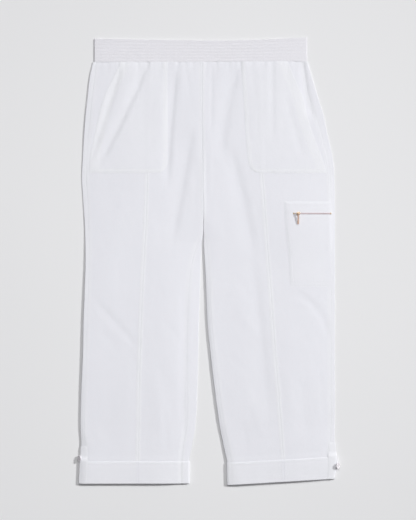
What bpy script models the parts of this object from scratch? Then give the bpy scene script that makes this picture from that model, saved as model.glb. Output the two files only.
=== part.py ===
"""Capri pants of white cotton, laid flat on their back.

They have a ribbed elastic waistband, a seam down the front of each leg, slant-mouthed patch pockets
on the hips, a zip pocket on the left thigh, and turned-up cuffs that buttoned tabs hold.

Frame: +X to the wearer's left, +Y towards the waistband, +Z up from the floor. Every length below is
in millimetres, and only the mesh makers turn them into metres.

Each leg is a flattened tube. A point of its cloth is given by its height y, by how far it lies over the
cloth from an edge of the tube (along), and by how far it stands out from the cloth's outer face (out).
So a pocket or a cuff is made from the points of the cloth below it, moved out.
"""

import math
from typing import NamedTuple

import bmesh
import bpy
import numpy as np
from mathutils import Matrix

MM = 0.001

# Cloth, seams and layers
CLOTH = 1.2  # wall of the cotton cloth
BAND = 2.2  # wall of the waistband, elastic and all
SEAM = 0.3  # gap between sewn pieces, and between layers
HALF_SEAM = SEAM / 2
LEG_DEPTH = 4.2  # from the floor to the front cloth's outer face, at a leg's edge
CUFF_DEPTH = 3.6  # the same for the leg inside its cuff
PLUMP = 0.7  # how much higher the front lies away from the edges
PLUMP_REACH = 26.0
FOLD_REACH = 14.0  # folds die out this near to an edge
LOWEST_FRONT = 2 * CLOTH + 0.4  # a fold never presses the front closer to the floor
HIGHEST_FRONT = 2 * CLOTH + 3.8

# Heights, from the middle of the garment
WAIST_SEAM = 413.5
CROTCH = 68.0
CUFF_TOP = -415.5
HEM = -461.8
MIDDLE = (-1.95, -1.67)  # the middle of the whole outline, which becomes the origin

# Cuffs: the leg's end, turned up over itself
CUFF_GAP = 0.6
CUFF_OUT = CUFF_GAP + CLOTH
FLOOR_RISE = (-335.0, CUFF_TOP)  # the back climbs here on to its own turn-up

# Waistband
BAND_DEPTH = 5.4
BAND_CHANNELS = 7
CHANNEL_RAISE = 0.5
BAND_EDGES = (-236.5, 203.0)
BAND_TOP = ((-236.5, 460.2), (-90.0, 457.6), (10.0, 456.2), (70.0, 457.0), (130.0, 459.4), (203.0, 463.3))
BAND_FOOT = ((-236.5, 413.8), (-90.0, 413.8), (65.0, 414.6), (169.0, 415.6), (203.0, 414.0))

# Patch pockets
POCKET_FOOT = 182.5
POCKET_CORNER = 24.0  # radius of the lower inner corner
MOUTH_LIFT = 0.8
POCKET_SLACK = 0.5

# Zip pocket on the left thigh
ZIP_POCKET_TOP = 124.4
ZIP_POCKET_FOOT = -54.5
ZIP_SLOT = (100.5, 96.5)
ZIP_TAPE = (110.9, 85.9)
TAPE = 1.0
CHAIN_WIDTH = 3.0
CHAIN = 1.4

# Zip slider and its pull tab
SLIDER_X = 186.0
SLIDER_LENGTH = 7.6
SLIDER_WIDTH = 6.2
SLIDER_PLATE = 1.5
BAR_RADIUS = 0.6
BAR_RISE = 2.3  # from the top of the plate to the middle of the bar
EYE_RADII = (1.0, 1.85)
EYE_WIDTH = 2.6
EYE_SIDES = 16
PULL_LENGTH = 23.0
PULL_WIDTHS = (4.4, 5.2)  # at the eye and near the free end
PULL = 1.2
PULL_DROOP = math.radians(6.5)
PULL_STEPS = 6
PULL_TIP_STEPS = 5

# Cuff tabs and their buttons
TAB_REACH = 14.0  # from the leg's edge in over the front
TAB_WRAP_ANGLE = 30.0  # degrees that it goes on past the edge, towards the floor
TAB_ROUND_STEP = 15.0
TAB_TIP = (0.55, 0.9)
TAB_TOP = -384.0
TAB_RAMP = 11.0
BUTTON_Y = {"right": -411.0, "left": -426.5}
BUTTON_RADIUS = 6.3
BUTTON_DEPTH = 2.6
BUTTON_SIDES = 20
BUTTON_TILT = math.radians(40)
BUTTON_PROFILE = (  # parts of its radius and of its depth, from the dished face over the rim to the underside
    (0.0, 0.62), (0.55, 0.62), (0.68, 0.98), (0.86, 1.0), (1.0, 0.72), (1.0, 0.3), (0.8, 0.0), (0.0, 0.0),
)


class Section(NamedTuple):
    """One cross-section of a leg, and where its lines run there."""

    y: float
    edge: float  # x of the leg's outer edge
    side_seam: float  # how far in from that edge the side seam lies
    mouth: float  # x of the pocket's mouth, and of the line that carries on below it
    thigh: float  # x of the zip pocket's front edge, and of the same line on the other leg
    front_seam: float
    pocket: float  # x of the hip pocket's inner edge
    inner: float  # x of the centre seam, and below the crotch of the leg's inner edge
    inseam: float  # how far the inseam lies from there, over the cloth


RIGHT_SECTIONS = (
    Section(413.5, -239.0, 7.0, -183.5, -153.5, -122.0, -85.5, -14.0, 0.0),
    Section(380.0, -246.5, 10.0, -199.0, -161.5, -123.0, -85.5, -14.0, 0.0),
    Section(340.5, -251.5, 9.5, -218.0, -172.0, -124.0, -85.5, -14.0, 0.0),
    Section(303.5, -255.0, 9.5, -228.5, -178.5, -125.0, -85.5, -14.0, 0.0),
    Section(261.5, -258.0, 8.5, -237.5, -182.5, -126.5, -85.5, -13.5, 0.0),
    Section(209.5, -261.5, 8.5, -247.5, -188.5, -127.5, -85.5, -12.5, 0.0),
    Section(178.5, -262.5, 9.0, -249.0, -190.5, -128.5, -85.5, -12.5, 0.0),
    Section(126.5, -260.0, 9.0, -242.5, -190.5, -129.5, -84.5, -11.5, 0.0),
    Section(68.0, -256.5, 7.5, -234.5, -186.5, -131.5, -82.5, -11.0, 0.0),
    Section(33.0, -255.5, 7.0, -228.0, -184.5, -133.5, -81.5, -14.0, 10.5),
    Section(-2.5, -255.5, 7.0, -224.0, -182.5, -135.5, -83.5, -16.0, 19.0),
    Section(-50.5, -257.0, 7.5, -221.0, -182.5, -138.0, -89.0, -18.0, 24.0),
    Section(-123.0, -259.5, 8.0, -220.0, -182.5, -141.0, -92.0, -21.0, 24.5),
    Section(-206.5, -261.5, 7.5, -222.0, -184.5, -143.5, -95.0, -23.0, 24.5),
    Section(-289.5, -265.0, 8.0, -226.0, -187.5, -145.5, -96.0, -26.0, 20.5),
    Section(-341.5, -266.0, 7.5, -227.0, -188.5, -146.0, -98.0, -29.5, 19.0),
    Section(-383.0, -264.0, 7.5, -228.0, -188.5, -147.0, -100.5, -36.0, 19.5),
    Section(-418.5, -264.5, 8.0, -229.0, -189.5, -147.0, -101.5, -41.5, 16.0),
    Section(-462.0, -265.5, 8.5, -229.0, -189.5, -147.5, -101.5, -42.0, 16.0),
)
LEFT_SECTIONS = (
    Section(413.5, 205.5, 7.5, 164.0, 133.5, 105.5, 67.5, -14.0, 0.0),
    Section(380.0, 215.5, 14.0, 178.5, 142.0, 106.5, 69.5, -14.0, 0.0),
    Section(340.5, 227.5, 18.5, 196.0, 150.5, 107.5, 72.5, -14.0, 0.0),
    Section(303.5, 239.0, 17.5, 205.0, 154.5, 108.0, 75.0, -14.0, 0.0),
    Section(261.5, 247.5, 13.0, 218.0, 156.5, 109.0, 77.0, -13.5, 0.0),
    Section(209.5, 259.0, 11.0, 237.5, 157.0, 110.0, 81.5, -12.5, 0.0),
    Section(178.5, 261.5, 9.5, 246.0, 156.5, 111.0, 83.0, -12.5, 0.0),
    Section(126.5, 262.5, 8.5, 243.0, 156.5, 115.0, 79.5, -11.5, 0.0),
    Section(68.0, 262.5, 8.5, 240.0, 159.5, 119.0, 75.5, -11.0, 0.0),
    Section(33.0, 262.5, 8.5, 237.5, 164.0, 121.5, 73.5, -8.5, 7.0),
    Section(-2.5, 262.5, 8.5, 235.5, 167.0, 124.0, 72.5, -6.5, 8.5),
    Section(-50.5, 262.5, 8.5, 231.5, 169.5, 128.0, 72.5, -5.0, 8.5),
    Section(-123.0, 262.5, 8.5, 225.5, 172.0, 133.0, 74.5, -3.0, 9.5),
    Section(-206.5, 261.5, 8.5, 222.0, 175.5, 139.0, 79.5, 5.0, 10.5),
    Section(-289.5, 261.5, 9.0, 220.0, 179.5, 146.0, 88.0, 15.0, 10.5),
    Section(-341.5, 260.5, 8.5, 219.0, 181.5, 150.0, 92.0, 22.5, 10.5),
    Section(-383.0, 260.5, 9.5, 218.0, 183.5, 153.0, 97.5, 31.5, 10.5),
    Section(-418.5, 260.5, 9.0, 217.0, 184.5, 155.5, 99.5, 38.5, 9.0),
    Section(-462.0, 260.0, 8.5, 217.0, 185.5, 156.5, 100.5, 40.0, 9.0),
)


class Fold(NamedTuple):
    """A soft ridge (lift over 0) or trough (under 0), along an arc between two points of the front."""

    x0: float
    y0: float
    x1: float
    y1: float
    bow: float  # how far the arc's middle swings to the left of its way
    width: float
    lift: float


FOLDS = (
    # right hip: drag lines from the waistband down to the pocket's outer corner
    Fold(-174.0, 393.0, -243.0, 210.0, -9.0, 8.0, -0.9),
    Fold(-128.0, 405.0, -232.0, 193.0, -8.0, 10.0, -1.3),
    Fold(-108.0, 400.0, -214.0, 200.0, -8.0, 12.0, 0.8),
    Fold(-60.0, 409.0, -84.0, 172.0, 5.0, 8.0, -1.1),
    # crotch whiskers
    Fold(-26.0, 262.0, -68.0, 60.0, 8.0, 9.0, -1.2),
    Fold(-30.0, 240.0, -88.0, 110.0, 7.0, 12.0, 0.9),
    Fold(-13.0, 250.0, -11.0, 78.0, 0.0, 9.0, -0.8),
    # left hip and thigh: the broad trough that runs down the leg
    Fold(44.0, 345.0, 66.0, 180.0, -4.0, 15.0, -1.3),
    Fold(66.0, 186.0, 112.0, -40.0, -5.0, 12.0, -1.2),
    Fold(112.0, -30.0, 132.0, -290.0, -3.0, 12.0, -0.9),
    Fold(44.0, 372.0, 14.0, 275.0, 2.0, 9.0, 0.9),
    Fold(133.0, 405.0, 136.0, 285.0, 2.0, 9.0, -0.7),
    Fold(167.0, 312.0, 190.0, 232.0, 0.0, 9.0, -0.6),
    Fold(90.0, 180.0, 96.0, 20.0, 3.0, 14.0, 0.7),
    # knees
    Fold(-220.0, -98.0, -156.0, -158.0, 7.0, 11.0, -1.0),
    Fold(-214.0, -126.0, -150.0, -190.0, 7.0, 13.0, 0.7),
    Fold(186.0, -64.0, 249.0, -155.0, 16.0, 10.0, -0.9),
    Fold(60.0, -80.0, 118.0, -170.0, -8.0, 14.0, 0.6),
    # shins
    Fold(-66.0, -60.0, -64.0, -330.0, -3.0, 9.0, -1.1),
    Fold(-118.0, -215.0, -104.0, -370.0, 4.0, 13.0, 0.6),
    Fold(-205.0, -250.0, -214.0, -385.0, 3.0, 13.0, -0.7),
    Fold(70.0, -250.0, 112.0, -375.0, 5.0, 13.0, 0.6),
    Fold(192.0, -240.0, 205.0, -380.0, -4.0, 13.0, -0.7),
)

class Gather(NamedTuple):
    """A small pleat that the elastic draws in under the waistband."""

    x: float
    depth: float


GATHERS = (
    Gather(-217.0, 0.5), Gather(-195.0, 0.9), Gather(-168.0, 0.7), Gather(-147.0, 0.5), Gather(-126.0, 0.9),
    Gather(-106.0, 0.5), Gather(-89.0, 0.7), Gather(-61.0, 1.2), Gather(-45.0, 0.6), Gather(-28.0, 0.5),
    Gather(-6.0, 0.8), Gather(9.0, 0.8), Gather(28.0, 0.9), Gather(42.0, 0.7), Gather(57.0, 0.6),
    Gather(68.0, 1.3), Gather(82.0, 0.9), Gather(96.0, 0.7), Gather(111.0, 0.5), Gather(132.0, 0.9),
    Gather(150.0, 0.6), Gather(184.0, 0.8),
)
GATHER_WIDTH = 5.0
GATHER_REACH = 20.0

# Heights of the lattice's rows. Each leg has its own list below the hip.
HIP_ROWS = (413.2, 402.0, 388.0, 368.0, 341.0, 313.5, 286.5, 259.5, 232.5, 207.5, 197.0, 188.0, POCKET_FOOT)
CROTCH_ROWS = (104.0, 86.0, 76.0, CROTCH, 62.0, 54.0, 42.0)
SHIN_ROWS = (
    -88.0, -122.0, -154.0, -188.0, -221.0, -254.0, -288.0, -318.0, -342.0, -364.0, TAB_TOP, -400.0, -415.0,
)
RIGHT_ROWS = HIP_ROWS + (154.0, 126.0) + CROTCH_ROWS + (14.0, -18.0, -52.0) + SHIN_ROWS
LEFT_ROWS = (
    HIP_ROWS + (154.0, ZIP_POCKET_TOP, ZIP_TAPE[0], *ZIP_SLOT, ZIP_TAPE[1])
    + CROTCH_ROWS[2:] + (8.0, -23.0, ZIP_POCKET_FOOT) + SHIN_ROWS
)
FOLD_STEPS = 4
CUFF_STEPS = 3
EDGE_STEPS = 4  # faces round half of a tube's edge
GATHERED_ROWS = 2
GATHER_CUTS = 2


def smooth(value):
    """0 below 0, 1 above 1, and a soft S between them."""
    value = min(max(value, 0.0), 1.0)
    return value * value * (3 - 2 * value)


def bell(value):
    return math.exp(-value * value)


def fold_height(fold, x, y):
    """What one fold adds to the front's height at a point."""
    along_x, along_y = fold.x1 - fold.x0, fold.y1 - fold.y0
    length = math.hypot(along_x, along_y)
    along = ((x - fold.x0) * along_x + (y - fold.y0) * along_y) / length**2
    if not 0 < along < 1:
        return 0.0
    aside = (along_x * (y - fold.y0) - along_y * (x - fold.x0)) / length
    aside -= fold.bow * 4 * along * (1 - along)
    return fold.lift * bell(aside / fold.width) * smooth(along / 0.3) * smooth((1 - along) / 0.3)


def gather_height(x, y):
    fade = math.exp(-(WAIST_SEAM - y) / GATHER_REACH)
    return -fade * sum(gather.depth * bell((x - gather.x) / GATHER_WIDTH) for gather in GATHERS)


def monotone_slopes(table):
    """Slopes of each column at each row, so that a smooth curve through the rows never swings past them."""
    steps = np.diff(table, axis=0) / np.diff(table[:, :1], axis=0)
    before, after = steps[:-1], steps[1:]
    product = before * after
    same_way = product > 0
    inner = np.where(same_way, 2 * product / np.where(same_way, before + after, 1.0), 0.0)
    return np.vstack([steps[:1], inner, steps[-1:]])


class Leg:
    """One leg of the pants: its sections, its lattice and the points of its cloth."""

    # The front's lattice lines, from the side seam to the inner edge: the two section lines that a line lies
    # between, how far it is from the first to the second, and a shift from there.
    FRONT_LINES = (
        ("side", "side", 0.0, 0.0),
        ("side", "mouth", 0.5, 0.0),
        ("mouth", "mouth", 0.0, 0.0),
        ("mouth", "thigh", 0.4, 0.0),
        ("mouth", "thigh", 0.77, 0.0),
        ("thigh", "thigh", 0.0, 0.0),
        ("thigh", "front_seam", 0.35, 0.0),
        ("thigh", "front_seam", 0.7, 0.0),
        ("front_seam", "front_seam", 0.0, 4.5),
        ("front_seam", "front_seam", 0.0, 0.0),
        ("front_seam", "front_seam", 0.0, -4.5),
        ("front_seam", "pocket", 0.55, 0.0),
        ("pocket", "pocket", 0.0, 0.0),
        ("pocket", "end", 0.3, 0.0),
        ("pocket", "end", 0.6, 0.0),
        ("end", "end", 0.0, 9.0),
        ("end", "end", 0.0, 3.4),
        ("end", "end", 0.0, 2.5),
        ("end", "end", 0.0, 1.6),
        ("end", "end", 0.0, 0.8),
        ("end", "end", 0.0, 0.0),
    )
    MOUTH_LINE, ZIP_LINE, THIGH_LINE, SEAM_LINE, POCKET_LINE = 2, 4, 5, 9, 12
    LAST_LINE = len(FRONT_LINES) - 1
    SEAM_RIDGE = (0.5, 4.0)  # height and half width of the pressed seam allowances
    BACK_LINES = 1 + EDGE_STEPS + 2 + EDGE_STEPS + 2

    def __init__(self, name, inward, sections, rows, hem_slope):
        self.name = name
        self.inward = inward  # +1 where the leg's inner edge is at the larger x
        self.table = np.array(sections)
        self.slopes = monotone_slopes(self.table)
        self.rows = rows + (HEM + CUFF_OUT - CUFF_GAP / 2,)
        self.hem_slope = hem_slope

    def section(self, y):
        """The section at any height, on smooth curves through the table's rows."""
        heights = self.table[:, 0]
        y = min(max(y, heights[-1]), heights[0])
        row = int(np.clip(np.searchsorted(-heights, -y, side="right") - 1, 0, len(heights) - 2))
        step = heights[row + 1] - heights[row]
        t = (y - heights[row]) / step
        values = (
            (1 + 2 * t) * (1 - t) ** 2 * self.table[row]
            + t * (1 - t) ** 2 * step * self.slopes[row]
            + t * t * (3 - 2 * t) * self.table[row + 1]
            + t * t * (t - 1) * step * self.slopes[row + 1]
        )
        section = Section(y, *values[1:])
        if y >= CROTCH:
            # The legs share a straight-lined centre seam.
            centre = np.interp(-y, -heights, self.table[:, Section._fields.index("inner")])
            return section._replace(inner=float(centre), inseam=0.0)
        return section

    def floor(self, y):
        """Height of the back's outer face over the floor."""
        top, foot = FLOOR_RISE
        return CUFF_OUT * smooth((top - y) / (top - foot))

    def radius(self, y):
        """Radius of the rounded edges of the flattened tube."""
        top, foot = FLOOR_RISE
        return (LEG_DEPTH + (CUFF_DEPTH - LEG_DEPTH) * smooth((top - y) / (top - foot))) / 2

    def turn(self, y):
        """How far the inner edge has turned down: a little at the centre seam, a quarter turn below it."""
        return math.radians(14 + 76 * smooth((CROTCH + 34 - y) / 34) if y > CROTCH else 90)

    def inner_limits(self, y):
        """The section, the turn, and the x where the inner edge starts to turn down."""
        section, turn = self.section(y), self.turn(y)
        edge = section.inner - self.inward * HALF_SEAM
        return section, turn, edge - self.inward * self.radius(y) * math.sin(turn)

    def hem_lift(self, x, y):
        """How far the hem's slope raises a point, fading out up the shin."""
        return self.hem_slope * (abs(x) - 145.0) * smooth((-300.0 - y) / 120.0)

    def top(self, x, y):
        """Height of the front's outer face over the floor."""
        section, _, inner_start = self.inner_limits(y)
        radius = self.radius(y)
        from_outer = self.inward * (x - section.edge) - radius
        from_inner = self.inward * (inner_start - x)
        plump = PLUMP * smooth(from_outer / PLUMP_REACH) * smooth(from_inner / PLUMP_REACH)
        folds = sum(fold_height(fold, x, y) for fold in FOLDS) + gather_height(x, y)
        folds *= smooth(from_outer / FOLD_REACH) * smooth(from_inner / FOLD_REACH)
        ridge, half_width = self.SEAM_RIDGE
        folds += ridge * bell((x - section.front_seam) / half_width)
        height = 2 * radius + plump + folds
        return self.floor(y) + min(max(height, LOWEST_FRONT), HIGHEST_FRONT)

    def point(self, y, along, out, inner):
        """A point of the cloth.

        along is measured over the cloth from the tube's inner or outer edge, positive on the front and negative
        on the back, and out from the cloth's outer face.
        """
        section, turn, start = self.inner_limits(y)
        way = self.inward if inner else -self.inward
        radius = self.radius(y)
        if not inner:
            turn, start = math.radians(90), section.edge + self.inward * radius
        angle = turn - abs(along) / radius
        flat_x = start - way * (abs(along) - turn * radius)
        if angle > 0:
            x, rise = start + way * (radius + out) * math.sin(angle), (radius + out) * math.cos(angle)
        else:
            x, rise = flat_x, radius + out
        if along < 0:
            z = self.floor(y) + radius - rise
        elif angle > 0:
            z = self.floor(y) + radius + rise
        else:
            z = self.top(x, y) + out
        return x, y + self.hem_lift(x, y), z

    def inner_along(self, x, y):
        """How far a point at x on the flat of the front lies from the inner edge, over the cloth."""
        _, turn, start = self.inner_limits(y)
        return turn * self.radius(y) + self.inward * (start - x)

    def front_lines(self, y):
        """How far each lattice line of the front lies from the inner edge, over the cloth."""
        section = self.section(y)
        at = {
            "side": self.inner_along(section.edge + self.inward * section.side_seam, y),
            "mouth": self.inner_along(section.mouth, y),
            "thigh": self.inner_along(section.thigh, y),
            "front_seam": self.inner_along(section.front_seam, y),
            "pocket": self.inner_along(section.pocket, y),
            "end": section.inseam + HALF_SEAM,
        }
        return [at[a] + (at[b] - at[a]) * part + shift for a, b, part, shift in self.FRONT_LINES]

    def back_lines(self, y):
        """(inner, along) of each lattice line of the back, from the side seam under the leg to the inseam."""
        section, radius = self.section(y), self.radius(y)
        quarter = math.pi / 2 * radius
        side = section.side_seam - radius + quarter - HALF_SEAM
        lines = [(False, side)]
        lines += [(False, quarter - step * 2 * quarter / EDGE_STEPS) for step in range(EDGE_STEPS + 1)]
        end = section.inseam - HALF_SEAM
        length = quarter + end
        steps = EDGE_STEPS + 2
        curl = [min(step * 2 * quarter / EDGE_STEPS, step * length / steps) for step in range(EDGE_STEPS + 1)]
        curl += [(curl[-1] + length) / 2, length]
        _, turn, start = self.inner_limits(y)
        width = self.inward * (start - section.edge) - radius + (turn * radius - quarter)
        lines += [(True, -quarter - width / 2)]
        return lines + [(True, value - quarter) for value in curl]

    def run(self, row):
        """(y, out of the inner face, out of the outer face) at a lattice row, down the leg and up the cuff."""
        last = len(self.rows) - 1
        if row <= last:
            return np.interp(row, range(last + 1), self.rows), -CLOTH, 0.0
        middle = CUFF_GAP / 2
        if row <= last + FOLD_STEPS:
            turned = math.pi * (row - last) / FOLD_STEPS
            reach = self.rows[-1] - middle * math.sin(turned)
            far = self.rows[-1] - (CUFF_OUT - middle) * math.sin(turned)
            outs = middle - (CUFF_OUT - middle) * math.cos(turned), middle - middle * math.cos(turned)
            return (far, reach), outs[0], outs[1]
        part = (row - last - FOLD_STEPS) / CUFF_STEPS
        return self.rows[-1] + (CUFF_TOP - self.rows[-1]) * part, CUFF_OUT, CUFF_GAP

    def bottom_row(self):
        return len(self.rows) - 1 + FOLD_STEPS + CUFF_STEPS

    def panel_point(self, lines, line, row, side, trim=0.0):
        """A point of a panel's wall: side 0 is the cloth's inner face and 1 its outer."""
        y, inner_out, outer_out = self.run(row)
        if isinstance(y, tuple):
            y = y[side]
        values = lines(y)
        if isinstance(values[0], tuple):
            inner, along = values[round(line)]
        else:
            inner, along = True, np.interp(line, range(len(values)), values)
        return self.point(y, along + trim, outer_out if side else inner_out, inner)

    def front_seam_trim(self, line, is_side):
        """Half a seam's gap, taken off a panel's edge at the front seam and at the side seam."""
        if line == self.SEAM_LINE:
            return HALF_SEAM if is_side else -HALF_SEAM
        return -HALF_SEAM if line == 0 else 0.0


RIGHT = Leg("right", 1, RIGHT_SECTIONS, RIGHT_ROWS, 0.0)
LEFT = Leg("left", -1, LEFT_SECTIONS, LEFT_ROWS, 0.046)


def wall(name, lines, rows, place, material, gathered=False, holes=()):
    """A cloth wall: a flat lattice, given a thickness of one, whose points are then put in place.

    lines and rows are the first and last lattice line and row. place(line, row, side) gives a point in mm. A
    gathered wall has finer faces in its top rows, and holes are (line, line, row, row) left out.
    """
    (line0, line1), (row0, row1) = lines, rows
    bm = bmesh.new()
    bmesh.ops.create_grid(bm, x_segments=line1 - line0, y_segments=row1 - row0, size=0.5)
    bmesh.ops.transform(bm, matrix=Matrix.Translation((0.5, 0.5, 0)), verts=bm.verts)
    for vert in bm.verts:
        vert.co.x = round(line0 + vert.co.x * (line1 - line0))
        vert.co.y = round(row0 + vert.co.y * (row1 - row0))
    out_of = [
        face for face in bm.faces
        for a, b, c, d in holes
        if a < face.calc_center_median().x < b and c < face.calc_center_median().y < d
    ]
    bmesh.ops.delete(bm, geom=out_of, context="FACES")
    if gathered:
        across = [
            edge for edge in bm.edges
            if edge.verts[0].co.y == edge.verts[1].co.y and edge.verts[0].co.y <= row0 + GATHERED_ROWS
        ]
        bmesh.ops.subdivide_edges(bm, edges=across, cuts=GATHER_CUTS, use_grid_fill=True)
    bmesh.ops.triangulate(bm, faces=bm.faces, quad_method="FIXED", ngon_method="BEAUTY")
    made = bmesh.ops.extrude_face_region(bm, geom=bm.faces[:])
    upper = {element for element in made["geom"] if isinstance(element, bmesh.types.BMVert)}
    for vert in bm.verts:
        vert.co = [value * MM for value in shifted(place(vert.co.x, vert.co.y, int(vert in upper)))]
    return finish(name, bm, material)


def shifted(point):
    x, y, z = point
    return x - MIDDLE[0], y - MIDDLE[1], z


def finish(name, bm, material):
    """Turns a bmesh into an object of the garment's collection, with its faces out and its material."""
    bmesh.ops.recalc_face_normals(bm, faces=bm.faces)
    if bm.calc_volume(signed=True) < 0:
        bmesh.ops.reverse_faces(bm, faces=bm.faces)
    mesh = bpy.data.meshes.new(name)
    bm.to_mesh(mesh)
    bm.free()
    mesh.shade_smooth()
    mesh.set_sharp_from_angle(angle=math.radians(40))
    mesh.materials.append(material)
    obj = bpy.data.objects.new(name, mesh)
    bpy.data.collections["capri_pants"].objects.link(obj)
    return obj


def make_material(name, colour, roughness, metallic=0.0):
    material = bpy.data.materials.new(name)
    material.use_nodes = True
    shader = material.node_tree.nodes["Principled BSDF"]
    shader.inputs["Base Color"].default_value = (*colour, 1.0)
    shader.inputs["Roughness"].default_value = roughness
    shader.inputs["Metallic"].default_value = metallic
    return material


def build_panels(leg, cloth):
    """The back and the two front panels of a leg, each with its end turned up as part of the cuff."""
    last_row = leg.bottom_row()
    seam, last = leg.SEAM_LINE, leg.LAST_LINE

    def side_panel(line, row, side):
        return leg.panel_point(leg.front_lines, line, row, side, leg.front_seam_trim(line, True))

    def centre_panel(line, row, side):
        return leg.panel_point(leg.front_lines, line, row, side, leg.front_seam_trim(line, False))

    def back_panel(line, row, side):
        return leg.panel_point(leg.back_lines, line, row, side)

    wall(f"{leg.name}_front_side", (0, seam), (0, last_row), side_panel, cloth, gathered=True)
    wall(f"{leg.name}_front_centre", (seam, last), (0, last_row), centre_panel, cloth, gathered=True)
    wall(f"{leg.name}_back", (0, leg.BACK_LINES), (0, last_row), back_panel, cloth)


def pocket_slack(line, row, first, last, foot):
    """How loosely a patch lies: flat along its sewn edges and fuller in the middle."""
    across = (line - first) / (last - first)
    down = row / foot
    return POCKET_SLACK * smooth(4 * across * (1 - across)) * smooth(4 * down * (1 - down))


def build_hip_pocket(leg, cloth):
    """The slant-mouthed patch, on the points of both front panels, with a rounded lower inner corner."""
    first, last = leg.MOUTH_LINE, leg.POCKET_LINE
    foot = leg.rows.index(POCKET_FOOT)

    def place(line, row, side):
        y = float(np.interp(row, range(len(leg.rows)), leg.rows))
        lines = leg.front_lines(y)
        along = float(np.interp(line, range(len(lines)), lines))
        above = max(y - POCKET_FOOT, 0.0)
        if above < POCKET_CORNER:
            inset = POCKET_CORNER - math.sqrt(POCKET_CORNER**2 - (POCKET_CORNER - above) ** 2)
            near = smooth(1 - (along - lines[last]) / (lines[last - 2] - lines[last]))
            along += inset * near
        lift = MOUTH_LIFT * smooth(1 - (line - first) / 1.5) * smooth(row / 2) * smooth((foot - row) / 2)
        out = SEAM + lift + pocket_slack(line, row, first, last, foot)
        return leg.point(y, along, out + CLOTH * side, True)

    wall(f"{leg.name}_hip_pocket", (first, last), (0, foot), place, cloth, gathered=True)


def zip_row(y):
    """The lattice row, whole or part, of a height on the left leg."""
    return float(np.interp(-y, [-value for value in LEFT.rows], range(len(LEFT.rows))))


def zip_pocket_out(line, row):
    """How far the zip pocket's inner face stands off the thigh: over the tape, but sewn down at its edges."""
    first, last = zip_row(ZIP_POCKET_TOP), zip_row(ZIP_POCKET_FOOT)
    edges = smooth((LEFT.THIGH_LINE - line) * 1.5) * smooth((row - first) * 1.2) * smooth((last - row) / 2)
    y = np.interp(row, range(len(LEFT.rows)), LEFT.rows)
    by_zip = smooth((y - ZIP_TAPE[1] + 14) / 10) * smooth((ZIP_TAPE[0] + 9 - y) / 8)
    sewn_side = smooth(line + 0.2)
    return SEAM + (TAPE + SEAM) * edges * max(by_zip, sewn_side)


def left_front_point(line, y, out):
    lines = LEFT.front_lines(y)
    return LEFT.point(y, float(np.interp(line, range(len(lines)), lines)), out, True)


def build_zip_pocket(cloth, tape_cloth, metal):
    """The zip pocket of the left thigh: the patch with its slot, the tape under it and the closed chain."""
    rows = tuple(round(zip_row(y)) for y in (ZIP_POCKET_TOP, ZIP_POCKET_FOOT))
    slot = tuple(round(zip_row(y)) for y in ZIP_SLOT)
    tape = tuple(round(zip_row(y)) for y in ZIP_TAPE)

    def patch(line, row, side):
        y = float(np.interp(row, range(len(LEFT.rows)), LEFT.rows))
        return left_front_point(line, y, zip_pocket_out(line, row) + CLOTH * side)

    def ribbon(line, row, side):
        y = float(np.interp(row, range(len(LEFT.rows)), LEFT.rows))
        return left_front_point(line, y, SEAM + TAPE * side)

    def chain(line, row, side):
        middle = sum(ZIP_SLOT) / 2
        y = middle + CHAIN_WIDTH * (0.5 - row)
        return left_front_point(line / 2, y, 2 * SEAM + TAPE + CHAIN * side)

    holes = [(0, LEFT.ZIP_LINE, *slot)]
    wall("left_zip_pocket", (0, LEFT.THIGH_LINE), rows, patch, cloth, holes=holes)
    wall("zip_tape", (0, LEFT.ZIP_LINE), tape, ribbon, tape_cloth)
    wall("zip_chain", (0, 2 * LEFT.ZIP_LINE - 1), (0, 1), chain, metal)


def slider_seat():
    """(y, z) of the middle of the slider's underside, just clear of the pocket and the chain."""
    y = sum(ZIP_SLOT) / 2
    row = zip_row(y)
    half = SLIDER_LENGTH / 2
    tops = [LEFT.top(x, y) for x in (SLIDER_X - half, SLIDER_X, SLIDER_X + half)]
    return y, max(tops) + zip_pocket_out(LEFT.ZIP_LINE, row) + CLOTH + SEAM


def bar_height():
    return slider_seat()[1] + SLIDER_PLATE + BAR_RISE


def build_slider(metal):
    """The slider: a plate with tapered ends, and the bridge that its pull tab hangs on."""
    y, z = slider_seat()
    x0, y0, z0 = shifted((SLIDER_X, y, z))
    bm = bmesh.new()
    plate = bmesh.ops.create_cube(bm, size=1.0)["verts"]
    for vert in plate:
        narrow = 0.72 if vert.co.x < 0 else 1.0
        vert.co = (
            x0 + vert.co.x * SLIDER_LENGTH,
            y0 + vert.co.y * SLIDER_WIDTH * narrow,
            z0 + (vert.co.z + 0.5) * SLIDER_PLATE,
        )
    for vert in bm.verts:
        vert.co *= MM
    body = finish("zip_slider", bm, metal)
    bridge = bpy.data.curves.new("zip_slider_bridge", "CURVE")
    bridge.dimensions = "3D"
    bridge.bevel_depth = BAR_RADIUS * MM
    bridge.bevel_resolution = 2
    bridge.use_fill_caps = True
    spline = bridge.splines.new("POLY")
    top, half, corner = BAR_RISE, SLIDER_LENGTH / 2 - 1.2, 0.7
    path = (
        (-half, -SLIDER_PLATE / 2), (-half, top - corner), (-half + corner, top),
        (half - corner, top), (half, top - corner), (half, -SLIDER_PLATE / 2),
    )
    spline.points.add(len(path) - 1)
    for point, (dx, dz) in zip(spline.points, path):
        point.co = ((x0 + dx) * MM, y0 * MM, (z0 + SLIDER_PLATE + dz) * MM, 1.0)
    arch = bpy.data.objects.new("zip_slider_bridge", bridge)
    bpy.context.scene.collection.objects.link(arch)
    unite(body, arch)


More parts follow.
